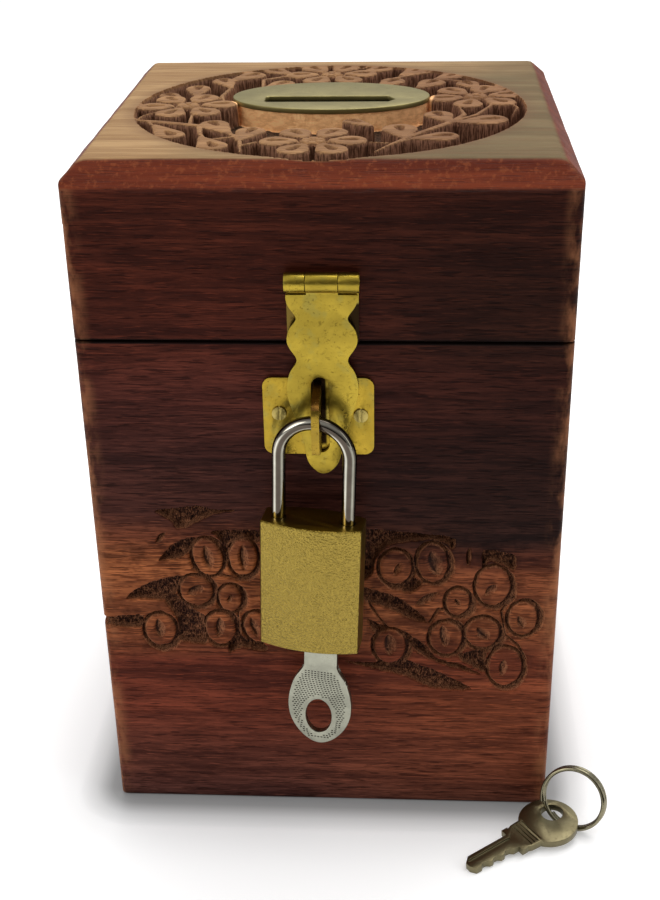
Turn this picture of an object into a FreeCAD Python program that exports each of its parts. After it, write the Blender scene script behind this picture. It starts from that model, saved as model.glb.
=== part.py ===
import FreeCAD, Part
import os, math
from FreeCAD import Vector as V

os.makedirs("parts", exist_ok=True)

# ---------------------------------------------------------------- driving dimensions (mm)
BOX_W = 101.6          # width, X
BOX_D = 101.6          # depth, Y
BOX_H = 155.0          # height, Z
WALL = 8.0             # thickness of every wall board
SEAM_Z = 118.5         # height of the joint between body and lid
SEAM_GAP = 0.4         # open line between body and lid when shut
BOTTOM_T = 8.0         # bottom board
BOTTOM_RECESS = 0.0    # height of the bottom board above the lower edges of the walls
LID_SLAB = 12.0        # thickness of the lid's top board
CH_FRONT = 5.5         # chamfer of the lid's top edge, front and back
CH_SIDE = 3.8          # chamfer of the lid's top edge, sides
EDGE_R = 1.4           # rounding of the upright corners
FOOT_R = 3.0           # rounding of the lower outside edge

MED_R, MED_X, MED_Y, MED_DEPTH = 42.6, -0.3, -3.0, 5.5        # carved round field in the lid
ISL_A, ISL_B, ISL_X, ISL_Y = 22.3, 13.6, -0.6, 7.0            # oval island that carries the slot plate
PLATE_T = 1.1                                                 # slot plate thickness
SLOT_X0, SLOT_X1, SLOT_Y0, SLOT_Y1 = -15.3, 14.0, 0.9, 6.3    # coin slot

BUTT_X = 27.0          # butt hinges stand this far left and right of the middle
BUTT_W = 20.0          # butt hinge width
BUTT_LEAF = 11.5       # leaf height from the joint line
BUTT_R = 1.6           # knuckle radius
BUTT_PIN_R = 0.8
LEAF_T = 0.8

HASP_X = 0.2           # middle of the hasp
HASP_KN_Z = 132.0      # height of the hasp's hinge pin
HASP_KN_R = 2.05
HASP_PIN_R = 0.9
HASP_Y0 = 1.15         # back of the swinging plate, in front of the wood
HASP_T = 0.8
STAPLE_X, STAPLE_T = -1.0, 1.6
STAPLE_OUT = 11.0      # how far the staple's eye stands out of the front
EYE_R = 2.3

HANG = V(-1.3, -BOX_D / 2 - 7.6, 104.0)   # middle of the shackle's wire at its top, in the staple's eye
LOCK_TILT, LOCK_YAW = 2.0, -8.0           # how the padlock hangs, degrees
SH_R = 1.45            # shackle wire radius
SH_C = 7.42            # half the distance between the legs
LOCK_HW, LOCK_TOP, LOCK_BOT = 10.8, -22.3, -53.0   # padlock body in its own frame, below HANG
LOCK_MID, LOCK_SIDE = 4.85, 3.0           # half thickness in the middle and at the sides
PLUG_X, PLUG_R = 2.2, 3.2                 # key plug axis and radius
PIN_Z = (-49.0, -45.8, -42.6)             # the three pin stacks
BIT_EDGE = (-0.3 + 0.4, -0.3 + 0.9, -0.3 + 1.4)   # blade edge under each pin

HX, HY = BOX_W / 2, BOX_D / 2
BODY_TOP = SEAM_Z - SEAM_GAP / 2
LID_BOT = SEAM_Z + SEAM_GAP / 2


# ---------------------------------------------------------------- helpers
def box(x0, x1, y0, y1, z0, z1):
    return Part.makeBox(x1 - x0, y1 - y0, z1 - z0, V(x0, y0, z0))


def cyl(p, d, r, h):
    return Part.makeCylinder(r, h, V(*p), V(*d))


def cone(p, d, r0, r1, h):
    return Part.makeCone(r0, r1, h, V(*p), V(*d))


def prism(points, axis, a0, a1):
    """Straight-sided solid over a closed outline. axis 'x': points are (y, z); 'y': (x, z); 'z': (x, y)."""
    if axis == "x":
        vs = [V(a0, p[0], p[1]) for p in points]
        d = V(a1 - a0, 0, 0)
    elif axis == "y":
        vs = [V(p[0], a0, p[1]) for p in points]
        d = V(0, a1 - a0, 0)
    else:
        vs = [V(p[0], p[1], a0) for p in points]
        d = V(0, 0, a1 - a0)
    return Part.Face(Part.makePolygon(vs + [vs[0]])).extrude(d)


def smooth_prism(points, axis, a0, a1):
    """Same, with one closed smooth curve through the points."""
    if axis == "y":
        vs = [V(p[0], a0, p[1]) for p in points]
        d = V(0, a1 - a0, 0)
    else:
        vs = [V(p[0], p[1], a0) for p in points]
        d = V(0, 0, a1 - a0)
    c = Part.BSplineCurve()
    c.interpolate(vs, PeriodicFlag=True)
    return Part.Face(Part.Wire([c.toShape()])).extrude(d)


def ellipse_prism(cx, cy, a, b, z0, z1, turn=0.0):
    """Upright elliptic cylinder, long half axis a turned by turn degrees from X."""
    big, small, t = (a, b, turn) if a >= b else (b, a, turn + 90.0)
    e = Part.Ellipse(V(0, 0, 0), big, small).toShape()
    f = Part.Face(Part.Wire([e])).extrude(V(0, 0, z1 - z0))
    f.rotate(V(0, 0, 0), V(0, 0, 1), t)
    f.translate(V(cx, cy, z0))
    return f


def fuse(*shapes):
    s = shapes[0]
    rest = [k for k in shapes[1:]]
    if rest:
        s = s.multiFuse(rest).removeSplitter()
    return s


def cut(s, *tools):
    for t in tools:
        s = s.cut(t)
    return s


def edges_where(shape, test):
    return [e for e in shape.Edges if test(e)]


def vertical_at(x, y, tol=0.01):
    def test(e):
        b = e.BoundBox
        return b.ZLength > 5 and abs(b.Center.x - x) < tol and abs(b.Center.y - y) < tol and b.XLength < tol and b.YLength < tol
    return test


def lower_edge(axis, value, z, tol=0.01):
    def test(e):
        b = e.BoundBox
        if abs(b.ZMin - z) > tol or abs(b.ZMax - z) > tol:
            return False
        if axis == "y":
            return b.YLength < tol and abs(b.YMin - value) < tol
        return b.XLength < tol and abs(b.XMin - value) < tol
    return test


def screw(p, d, head_r, shank_r, length, head_h=0.6):
    """Small round-head wood screw: p on the surface it presses on, d into the wood."""
    d = V(*d)
    p = V(*p)
    head = Part.makeCylinder(head_r, head_h, p - d * head_h, d)
    shank = Part.makeCylinder(shank_r, length - 1.5, p, d)
    tip = Part.makeCone(shank_r, 0.15, 1.5, p + d * (length - 1.5), d)
    s = fuse(head, shank, tip)
    up = V(0, 0, 1)
    side = d.cross(up)
    slot = Part.makeBox(0.35, 2 * head_r + 1, 0.3)
    slot.translate(V(-0.175, -head_r - 0.5, 0))
    m = FreeCAD.Placement(p - d * head_h, FreeCAD.Rotation(side, up, d, "ZXY"))
    slot.Placement = m.multiply(slot.Placement)
    return s.cut(slot)


def screw_void(p, d, shank_r, length):
    """The hole that the screw's shank fills."""
    d = V(*d)
    p = V(*p)
    return fuse(Part.makeCylinder(shank_r, length - 1.5, p, d), Part.makeCone(shank_r, 0.15, 1.5, p + d * (length - 1.5), d))


def helix_spring(p, d, r, wire, length, turns):
    """Open coil spring along d from p, its wire wholly inside the given length."""
    pitch = (length - wire - 0.1) / turns
    path = Part.makeHelix(pitch, pitch * turns, r)
    start = path.Edges[0].valueAt(path.Edges[0].FirstParameter)
    tang = path.Edges[0].tangentAt(path.Edges[0].FirstParameter)
    prof = Part.Wire([Part.Circle(start, tang, wire / 2).toShape()])
    s = Part.Wire(path.Edges).makePipeShell([prof], True, True)
    s.translate(V(0, 0, wire / 2 + 0.05))
    s.Placement = FreeCAD.Placement(V(*p), FreeCAD.Rotation(V(0, 0, 1), V(*d))).multiply(s.Placement)
    return s


def save(name, *solids):
    out = []
    for s in solids:
        out += list(s.Solids)
    shape = out[0] if len(out) == 1 else Part.makeCompound(out)
    assert shape.isValid(), name
    assert all(k.Volume > 0 for k in out), name
    shape.exportStep("parts/%s.step" % name)
    b = shape.optimalBoundingBox()
    print("%-26s %2d solid(s) %9.1f mm3  x %.1f..%.1f  y %.1f..%.1f  z %.1f..%.1f"
          % (name, len(out), shape.Volume, b.XMin, b.XMax, b.YMin, b.YMax, b.ZMin, b.ZMax))


# ---------------------------------------------------------------- carving on the upright boards
# leaf cuts and rough ground, as outlines in (across, height) on the board's face
LEAF_CUTS = [
    [(-37.2, 79.1), (-27.5, 80.3), (-18.0, 79.3), (-23.8, 78.4), (-32.4, 74.5), (-34.8, 77.3)],
    [(-37.2, 66.6), (-33.0, 71.6), (-28.0, 72.3), (-29.4, 68.7), (-35.4, 66.3)],
    [(-45.6, 56.6), (-39.4, 60.2), (-32.3, 62.6), (-33.6, 58.0), (-36.5, 55.6)],
    [(-36.4, 55.3), (-27.9, 52.4), (-27.6, 44.6), (-33.8, 45.2), (-34.0, 50.0)],
    [(-50.8, 51.2), (-41.6, 51.9), (-41.6, 48.7), (-47.3, 48.4), (-50.8, 49.4)],
    [(-24.0, 74.4), (-15.2, 74.4), (-15.2, 71.2), (-21.0, 71.0)],
    [(8.6, 75.2), (28.3, 73.3), (27.0, 70.2), (18.6, 72.0), (10.6, 69.2), (8.6, 62.0)],
    [(8.8, 60.2), (17.4, 57.4), (22.6, 51.0), (17.8, 52.0)],
    [(18.4, 47.2), (24.0, 42.4), (33.6, 39.6), (35.6, 36.9), (28.6, 38.6), (21.0, 42.6)],
    [(4.2, 40.6), (10.6, 40.0), (17.0, 41.6), (33.2, 32.7), (24.0, 32.9), (14.6, 37.4)],
]
BUDS = [(-26.4, 67.3, 3.4), (-18.3, 67.3, 3.5), (-29.2, 58.4, 3.9), (-21.7, 56.4, 2.9), (-37.6, 48.7, 4.1),
        (-23.4, 48.7, 3.7), (15.3, 65.1, 4.2), (23.9, 66.2, 3.9), (36.3, 60.5, 4.3), (44.6, 51.9, 3.9),
        (29.1, 56.6, 3.0), (26.3, 46.9, 3.9), (35.2, 48.2, 3.8), (14.1, 45.1, 4.2), (39.9, 39.4, 4.2)]
CUT_DEPTH, RING_DEPTH = 2.2, 1.1


def carve_tools():
    """Cutting tools for a board whose face is the plane y = 0 with the wood at y > 0."""
    tools = [prism(p, "y", -1.0, CUT_DEPTH) for p in LEAF_CUTS]
    for x, z, r in BUDS:
        ring = cyl((x, -1, z), (0, 1, 0), r, 1 + RING_DEPTH).cut(cyl((x, -2, z), (0, 1, 0), r - 0.55, 4 + RING_DEPTH))
        tools.append(ring)
        tools.append(prism([(x - 0.55, z), (x, z + r * 0.5), (x + 0.55, z), (x, z - r * 0.5)], "y", -1.0, 1.0))
    return tools


TOOLS = carve_tools()


def carved(board, place):
    moved = []
    for t in TOOLS:
        k = t.copy()
        k.Placement = place.multiply(k.Placement)
        moved.append(k)
    pocket = moved[0].multiFuse(moved[1:])
    return board.cut(pocket)


# ---------------------------------------------------------------- screws that fix the metal to the wood
STAPLE_SCREWS = [((-9.1, -HY - LEAF_T, 103.0), (0, 1, 0)), ((7.8, -HY - LEAF_T, 102.6), (0, 1, 0))]
LEAF_SCREWS = [((HASP_X - 4.2, -HY - 0.55, 122.6), (0, 1, 0)), ((HASP_X + 4.2, -HY - 0.55, 122.6), (0, 1, 0))]
BUTT_BODY_SCREWS, BUTT_LID_SCREWS = [], []
for side in (-1, 1):
    for dx in (-6.6, 6.6):
        BUTT_BODY_SCREWS.append(((side * BUTT_X + dx, HY + LEAF_T, SEAM_Z - 7.2), (0, -1, 0)))
        BUTT_LID_SCREWS.append(((side * BUTT_X + dx, HY + LEAF_T, SEAM_Z + 7.2), (0, -1, 0)))
SC_HEAD, SC_SHANK, SC_LEN = 1.5, 0.75, 6.5


def voids(list_, length=SC_LEN):
    return [screw_void(p, d, SC_SHANK, length) for p, d in list_]


# ---------------------------------------------------------------- body boards
front = box(-HX, HX, -HY, -HY + WALL, 0, BODY_TOP)
front = front.makeFillet(EDGE_R, edges_where(front, vertical_at(-HX, -HY)) + edges_where(front, vertical_at(HX, -HY)))
front = front.makeFillet(FOOT_R, edges_where(front, lower_edge("y", -HY, 0)))
front = carved(front, FreeCAD.Placement(V(0, -HY, 0), FreeCAD.Rotation()))
front = cut(front, *voids(STAPLE_SCREWS))
# two rivet tails of the staple go through the board behind its plate
RIVETS = [cyl((STAPLE_X, -HY, z), (0, 1, 0), 0.7, 3.5) for z in (99.0, 107.4)]
front = cut(front, *RIVETS)
save("body_front_panel", front)

back = box(-HX, HX, HY - WALL, HY, 0, BODY_TOP)
back = back.makeFillet(EDGE_R, edges_where(back, vertical_at(-HX, HY)) + edges_where(back, vertical_at(HX, HY)))
back = back.makeFillet(FOOT_R, edges_where(back, lower_edge("y", HY, 0)))
back = cut(back, *voids(BUTT_BODY_SCREWS))
save("body_back_panel", back)

for name, s in (("body_left_panel", -1), ("body_right_panel", 1)):
    x0, x1 = sorted((s * HX, s * (HX - WALL)))
    p = box(x0, x1, -HY + WALL, HY - WALL, 0, BODY_TOP)
    p = p.makeFillet(FOOT_R, edges_where(p, lower_edge("x", s * HX, 0)))
    if s < 0:
        place = FreeCAD.Placement(V(-HX, 0, 0), FreeCAD.Rotation(V(0, 0, 1), -90))
    else:
        place = FreeCAD.Placement(V(HX, 0, 0), FreeCAD.Rotation(V(0, 0, 1), 90))
    p = carved(p, place)
    save(name, p)

bottom = box(-HX + WALL, HX - WALL, -HY + WALL, HY - WALL, BOTTOM_RECESS, BOTTOM_RECESS + BOTTOM_T)
save("bottom_panel", bottom)

# ---------------------------------------------------------------- lid boards
SLAB_Z = BOX_H - LID_SLAB
slab = box(-HX, HX, -HY, HY, SLAB_Z, BOX_H)
for s in (-1, 1):
    slab = slab.cut(prism([(s * (HY + 1), BOX_H - CH_FRONT - 1), (s * (HY + 1), BOX_H + 1), (s * (HY - CH_FRONT - 1), BOX_H + 1)], "x", -HX - 1, HX + 1))
    slab = slab.cut(prism([(s * (HX + 1), BOX_H - CH_SIDE - 1), (s * (HX + 1), BOX_H + 1), (s * (HX - CH_SIDE - 1), BOX_H + 1)], "y", -HY - 1, HY + 1))
floor_z = BOX_H - MED_DEPTH
field = cyl((MED_X, MED_Y, floor_z), (0, 0, 1), MED_R, MED_DEPTH + 1)
island = ellipse_prism(ISL_X, ISL_Y, ISL_A, ISL_B, floor_z - 1, BOX_H + 2)
FLOWERS = [(-2.3, -31.2, 2), (-32.3, -0.4, 8), (32.2, 7.8, 14), (-1.8, 31.5, 5)]
LEAVES = [(-32.3, 16.5, 4.3, 2.9, 70), (-23.8, -17.2, 4.2, 3.2, 30), (-16.3, -23.6, 4.2, 3.0, 60), (-31.5, -25.0, 4.2, 3.0, -50),
          (-22.0, -34.2, 4.2, 2.6, 30), (23.2, -10.0, 4.2, 3.3, 40), (15.2, -22.2, 4.4, 3.3, 0), (33.4, -14.4, 4.7, 3.0, 20),
          (23.9, -28.0, 4.4, 2.8, 10), (-13.5, 24.5, 3.6, 3.0, 60), (18.0, 24.5, 4.0, 3.0, 50), (23.5, 31.0, 4.0, 3.0, -40),
          (-20.5, 28.0, 4.6, 2.6, 50)]
STEMS = [((-42.0, -12.5), (-16.0, -24.5)), ((-29.0, -8.0), (-20.0, -33.0)), ((11.5, -38.5), (34.5, -8.0)), ((20.0, -30.0), (29.0, -24.5)),
         ((-33.5, 6.0), (-32.0, 15.0)), ((32.0, -8.0), (36.0, 2.0)), ((-26.0, 20.0), (-12.0, 31.0)), ((12.0, 34.5), (30.0, 17.0)), ((-36.0, -8.0), (-34.0, -22.0))]
relief = []
for fx, fy, turn in FLOWERS:
    relief.append(cyl((fx, fy, floor_z - 0.5), (0, 0, 1), 3.4, MED_DEPTH + 0.2))
    for k in range(6):
        a = math.radians(60 * k + turn)
        relief.append(cyl((fx + 6.9 * math.cos(a), fy + 6.9 * math.sin(a), floor_z - 0.5), (0, 0, 1), 3.65, MED_DEPTH + 0.2))
for lx, ly, a, b, t in LEAVES:
    relief.append(ellipse_prism(lx, ly, a, b, floor_z - 0.5, BOX_H - 0.3, t))
for (ax, ay), (bx, by) in STEMS:
    L = math.hypot(bx - ax, by - ay)
    s = box(0, L, -0.9, 0.9, floor_z - 0.5, BOX_H - 0.5)
    s.rotate(V(0, 0, 0), V(0, 0, 1), math.degrees(math.atan2(by - ay, bx - ax)))
    s.translate(V(ax, ay, 0))
    relief.append(s)
raised = relief[0].multiFuse(relief[1:])
field = field.cut(island).cut(raised)
slab = slab.cut(field)
# the island is lowered by the plate's thickness
slab = slab.cut(ellipse_prism(ISL_X, ISL_Y, ISL_A + 0.02, ISL_B + 0.02, BOX_H - PLATE_T, BOX_H + 1))
# outline of the coin slot, pointed at its right end
slot_pts = [(SLOT_X0, SLOT_Y0 + 0.6), (SLOT_X0 + 0.6, SLOT_Y0), (SLOT_X1 - 1.6, SLOT_Y0), (SLOT_X1, (SLOT_Y0 + SLOT_Y1) / 2 - 0.4),
            (SLOT_X1 - 1.6, SLOT_Y1), (SLOT_X0 + 0.6, SLOT_Y1), (SLOT_X0, SLOT_Y1 - 0.6)]
coin = prism(slot_pts, "z", SLAB_Z - 1, BOX_H + 1)
slab = slab.cut(coin)
slab = max(slab.Solids, key=lambda k: k.Volume)
save("lid_top_panel", slab)

plate = ellipse_prism(ISL_X, ISL_Y, ISL_A, ISL_B, BOX_H - PLATE_T, BOX_H).cut(coin)
save("slot_plate", plate)

lid_front = box(-HX, HX, -HY, -HY + WALL, LID_BOT, SLAB_Z)
lid_front = cut(lid_front, *voids(LEAF_SCREWS, 5.5))
save("lid_front_rail", lid_front)
lid_back = box(-HX, HX, HY - WALL, HY, LID_BOT, SLAB_Z)
lid_back = cut(lid_back, *voids(BUTT_LID_SCREWS))
save("lid_back_rail", lid_back)
save("lid_left_rail", box(-HX, -HX + WALL, -HY + WALL, HY - WALL, LID_BOT, SLAB_Z))
save("lid_right_rail", box(HX - WALL, HX, -HY + WALL, HY - WALL, LID_BOT, SLAB_Z))

# ---------------------------------------------------------------- butt hinges at the back
KY = HY + BUTT_R          # the hinge line runs through (KY, SEAM_Z)
for name, s in (("left", -1), ("right", 1)):
    cx = s * BUTT_X
    x0, x1 = cx - BUTT_W / 2, cx + BUTT_W / 2
    a, b = cx - 3.4, cx + 3.4          # the middle knuckle belongs to the lid's leaf
    lid_kn = cyl((a, KY, SEAM_Z), (1, 0, 0), BUTT_R, b - a)
    body_kn = [cyl((x0, KY, SEAM_Z), (1, 0, 0), BUTT_R, a - 0.15 - x0), cyl((b + 0.15, KY, SEAM_Z), (1, 0, 0), BUTT_R, x1 - b - 0.15)]
    bore = cyl((x0 - 1, KY, SEAM_Z), (1, 0, 0), BUTT_PIN_R + 0.05, BUTT_W + 2)
    body_leaf = box(x0, x1, HY, HY + LEAF_T, SEAM_Z - BUTT_LEAF, SEAM_Z)
    body_leaf = body_leaf.cut(box(a - 0.15, b + 0.15, HY - 1, HY + 3, SEAM_Z - BUTT_R - 0.2, SEAM_Z + 2))
    body_leaf = fuse(body_leaf, *body_kn).cut(bore)
    lid_leaf = box(x0, x1, HY, HY + LEAF_T, SEAM_Z, SEAM_Z + BUTT_LEAF)
    lid_leaf = lid_leaf.cut(box(x0 - 1, a, HY - 1, HY + 3, SEAM_Z - 2, SEAM_Z + BUTT_R + 0.2))
    lid_leaf = lid_leaf.cut(box(b, x1 + 1, HY - 1, HY + 3, SEAM_Z - 2, SEAM_Z + BUTT_R + 0.2))
    lid_leaf = fuse(lid_leaf, lid_kn).cut(bore)
    body_leaf = cut(body_leaf, *voids(BUTT_BODY_SCREWS))
    lid_leaf = cut(lid_leaf, *voids(BUTT_LID_SCREWS))
    save("hinge_%s_body_leaf" % name, body_leaf)
    save("hinge_%s_lid_leaf" % name, lid_leaf)
    pin = cyl((x0 + 0.1, KY, SEAM_Z), (1, 0, 0), BUTT_PIN_R, BUTT_W - 0.2)
    save("hinge_%s_pin" % name, pin)
save("hinge_body_screws", *[screw(p, d, SC_HEAD, SC_SHANK, SC_LEN) for p, d in BUTT_BODY_SCREWS])
save("hinge_lid_screws", *[screw(p, d, SC_HEAD, SC_SHANK, SC_LEN) for p, d in BUTT_LID_SCREWS])

# ---------------------------------------------------------------- hasp on the front
HKY = -HY - HASP_KN_R - 0.02
kx0, kx1 = HASP_X - 7.3, HASP_X + 7.5
ka, kb = HASP_X - 3.05, HASP_X + 3.3
leaf = box(HASP_X - 7.1, HASP_X + 7.3, -HY - LEAF_T, -HY, LID_BOT + 0.2, HASP_KN_Z)
leaf = leaf.cut(box(ka - 0.15, kb + 0.15, -HY - 2, -HY + 1, HASP_KN_Z - HASP_KN_R - 0.15, HASP_KN_Z + 1))
leaf = fuse(leaf, cyl((kx0, HKY, HASP_KN_Z), (1, 0, 0), HASP_KN_R, ka - 0.15 - kx0), cyl((kb + 0.15, HKY, HASP_KN_Z), (1, 0, 0), HASP_KN_R, kx1 - kb - 0.15))
hbore = cyl((kx0 - 1, HKY, HASP_KN_Z), (1, 0, 0), HASP_PIN_R + 0.05, 20)
leaf = leaf.cut(hbore)
for p, d in LEAF_SCREWS:      # countersinks, so the heads stay below the swinging plate
    leaf = leaf.cut(fuse(cyl((p[0], p[1] - 0.4, p[2]), d, 1.4, 0.4), screw_void(p, d, SC_SHANK, 5.5)))
save("hasp_fixed_leaf", leaf)
save("hasp_leaf_screws", *[screw(p, d, 1.4, SC_SHANK, 5.5, 0.3) for p, d in LEAF_SCREWS])
save("hasp_pin", cyl((kx0 + 0.1, HKY, HASP_KN_Z), (1, 0, 0), HASP_PIN_R, kx1 - kx0 - 0.2))

# half widths of the swinging plate at each height
OUT = [(129.4, 7.1), (128.2, 7.1), (126.3, 6.3), (124.2, 5.2), (122.8, 6.1), (121.0, 6.95), (119.4, 7.1), (117.6, 6.4), (115.2, 5.2),
       (113.4, 6.2), (111.4, 7.0), (109.3, 7.3), (106.4, 7.0), (103.2, 6.0), (100.0, 5.0), (97.5, 4.1), (94.6, 3.75), (92.0, 3.0), (90.4, 1.7)]
py0, py1 = -HY - HASP_Y0 - HASP_T, -HY - HASP_Y0


def side_curve(s):
    pts = [V(HASP_X + s * w - 0.25 * (129.4 - z) / 40.0, py0, z) for z, w in OUT]
    c = Part.BSplineCurve()
    c.interpolate(pts)
    return c.toShape(), pts


eR, pR = side_curve(1)
eL, pL = side_curve(-1)
tip = V((pR[-1].x + pL[-1].x) / 2, py0, 89.6)
arc = Part.Arc(pR[-1], tip, pL[-1]).toShape()
top = Part.LineSegment(pL[0], pR[0]).toShape()
plate_face = Part.Face(Part.Wire(Part.__sortEdges__([eR, arc, eL, top])))
hasp = plate_face.extrude(V(0, py1 - py0, 0))
neck = box(ka, kb, py0, py1, 129.2, HASP_KN_Z)
barrel = cyl((ka, HKY, HASP_KN_Z), (1, 0, 0), HASP_KN_R, kb - ka)
hasp = fuse(hasp, neck, barrel).cut(hbore)
SLOT_XC, SLOT_HALF, SLOT_LO, SLOT_HI = -0.5, 1.8, 94.6, 111.6
slot = fuse(box(SLOT_XC - SLOT_HALF, SLOT_XC + SLOT_HALF, py0 - 1, py1 + 1, SLOT_LO + SLOT_HALF, SLOT_HI - SLOT_HALF),
            cyl((SLOT_XC, py0 - 1, SLOT_LO + SLOT_HALF), (0, 1, 0), SLOT_HALF, HASP_T + 2),
            cyl((SLOT_XC, py0 - 1, SLOT_HI - SLOT_HALF), (0, 1, 0), SLOT_HALF, HASP_T + 2))
hasp = hasp.cut(slot)
save("hasp_plate", hasp)

# staple plate with its eye
sp = box(-12.4, 10.5, -HY - LEAF_T, -HY, 93.6, 111.0)
sp = sp.makeFillet(2.0, edges_where(sp, lambda e: e.BoundBox.YLength > 0.5))
sp = cut(sp, *voids(STAPLE_SCREWS))
sp = cut(sp, *[cyl((STAPLE_X, -HY - 1, z), (0, 1, 0), 0.7, 2) for z in (99.0, 107.4)])
save("staple_plate", sp)
ys = -HY - LEAF_T
yo = -HY - STAPLE_OUT
eye_pts = [(ys, 96.2), (ys, 110.4), (ys - 3.0, 110.2), (yo + 1.6, 109.0), (yo + 0.4, 108.2), (yo, 107.0), (yo, 99.4), (yo + 0.4, 98.4), (yo + 1.5, 97.8), (ys - 3.5, 96.4)]
eye = prism(eye_pts, "x", STAPLE_X - STAPLE_T / 2, STAPLE_X + STAPLE_T / 2)
eye = eye.cut(cyl((STAPLE_X - 3, HANG.y, 104.45), (1, 0, 0), EYE_R, 6))
tails = [cyl((STAPLE_X, -HY + 3.5, z), (0, -1, 0), 0.7, 3.5 + LEAF_T + 0.3) for z in (99.0, 107.4)]
eye = fuse(eye, *tails)
save("staple", eye)
save("staple_screws", *[screw(p, d, SC_HEAD, SC_SHANK, SC_LEN, 0.35) for p, d in STAPLE_SCREWS])

# ---------------------------------------------------------------- padlock, in its own frame below HANG
LOCK = FreeCAD.Placement(HANG, FreeCAD.Rotation(V(0, 0, 1), LOCK_YAW).multiply(FreeCAD.Rotation(V(0, 1, 0), LOCK_TILT)))


def put(*shapes):
    out = []
    for s in shapes:
        k = s.copy()
        k.Placement = LOCK.multiply(k.Placement)
        out.append(k)
    return out if len(out) > 1 else out[0]


LONG_END, SHORT_END = -34.5, -28.2
circ = Part.Wire([Part.Circle(V(SH_C, 0, -SH_C), V(0, 0, 1), SH_R).toShape()])
arch = Part.Face(circ).revolve(V(0, 0, -SH_C), V(0, -1, 0), 180)
long_leg = cyl((-SH_C, 0, LONG_END), (0, 0, 1), SH_R, -SH_C - LONG_END)
short_leg = cyl((SH_C, 0, SHORT_END), (0, 0, 1), SH_R, -SH_C - SHORT_END)
shackle = fuse(arch, long_leg, short_leg)
# flat on the long leg that runs past the retaining pin
RET_Z, RET_R, RET_X = -23.9, 0.5, -SH_C + SH_R + 0.05
shackle = shackle.cut(box(RET_X - RET_R - 0.1, -SH_C + 3, -3, 3, RET_Z - RET_R - 7.2, RET_Z + RET_R + 0.3))
# notch in the short leg, its lower face sloping so the bolt can leave it while the shackle lifts
NOSE = SH_C - SH_R + 0.6
NZ0, NZ1 = -27.05, -24.75
notch = prism([(SH_C - 3, NZ1 + 0.25), (NOSE + 0.15, NZ1 + 0.25), (NOSE + 0.15, NZ0 - 0.15), (NOSE + 0.15 - 0.26, SHORT_END - 0.1), (SH_C - 3, SHORT_END - 0.1)], "y", -3, 3)
shackle = shackle.cut(notch)
shackle = max(shackle.Solids, key=lambda k: k.Volume)
save("shackle", put(shackle))


def lens(hw, side_, mid, z0, z1):
    e = [Part.Arc(V(-hw, -side_, z0), V(0, -mid, z0), V(hw, -side_, z0)).toShape(),
         Part.LineSegment(V(hw, -side_, z0), V(hw, side_, z0)).toShape(),
         Part.Arc(V(hw, side_, z0), V(0, mid, z0), V(-hw, side_, z0)).toShape(),
         Part.LineSegment(V(-hw, side_, z0), V(-hw, -side_, z0)).toShape()]
    return Part.Face(Part.Wire(e)).extrude(V(0, 0, z1 - z0))


body = lens(LOCK_HW, LOCK_SIDE, LOCK_MID, LOCK_BOT, LOCK_TOP)
body = body.makeFillet(0.5, edges_where(body, lambda e: e.BoundBox.ZLength > 5))
body = body.makeChamfer(0.3, edges_where(body, lambda e: e.BoundBox.ZLength < 0.01 and e.Length > 1.5))
LEG_BORE = SH_R + 0.08
body = cut(body, cyl((-SH_C, 0, -39.5), (0, 0, 1), LEG_BORE, 20), cyl((SH_C, 0, -28.6), (0, 0, 1), LEG_BORE, 20))
body = cut(body, cyl((PLUG_X, 0, LOCK_BOT - 1), (0, 0, 1), PLUG_R + 0.07, 1 + 15.2), cyl((PLUG_X, 0, LOCK_BOT + 1), (0, 0, 1), 2.35, NZ0 + 1.0 - LOCK_BOT - 1))
CH_X0 = -4.9
body = cut(body, box(CH_X0, SH_C, -1.33, 1.33, NZ0 - 0.08, NZ1 + 0.08))
for z in PIN_Z:
    body = cut(body, cyl((0.0, 0, z), (-1, 0, 0), 0.88, 8.6), cyl((-8.6, 0, z), (-1, 0, 0), 1.1, 5))
body = cut(body, cyl((RET_X, -2.6, RET_Z), (0, 1, 0), RET_R, 10))
CLIP_Z = LOCK_BOT + 2.7
body = cut(body, cyl((PLUG_X + 3.1, -2.6, CLIP_Z), (0, 1, 0), 0.4, 10))
save("padlock_body", put(body))


def trimmed(pin):
    return pin.common(lens(LOCK_HW, LOCK_SIDE, LOCK_MID, LOCK_BOT, LOCK_TOP))


save("shackle_retaining_pin", put(trimmed(cyl((RET_X, -2.6, RET_Z), (0, 1, 0), RET_R, 10))))
save("plug_retaining_pin", put(trimmed(cyl((PLUG_X + 3.1, -2.6, CLIP_Z), (0, 1, 0), 0.4, 10))))
save("shackle_spring", put(helix_spring((-SH_C, 0, -39.5), (0, 0, 1), 1.0, 0.4, 4.9, 4.5)))

# latch bolt: a bar that slides along the padlock's width, driven by the plug's cam pin
CAM_R, CAM_PIN = 1.6, 0.6
bolt = box(-1.0, NOSE, -1.25, 1.25, NZ0, NZ1)
bolt = bolt.cut(box(PLUG_X + CAM_R - 1.05, PLUG_X + CAM_R + 1.05, -0.75, 3, NZ0 - 1, NZ0 + 1.15))
save("latch_bolt", put(bolt))
# drawn pressed short, so that the bolt has its full stroke in front of it
save("latch_spring", put(helix_spring((CH_X0, 0, (NZ0 + NZ1) / 2), (1, 0, 0), 0.8, 0.3, -1.0 - CH_X0 - 1.75, 3)))

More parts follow.
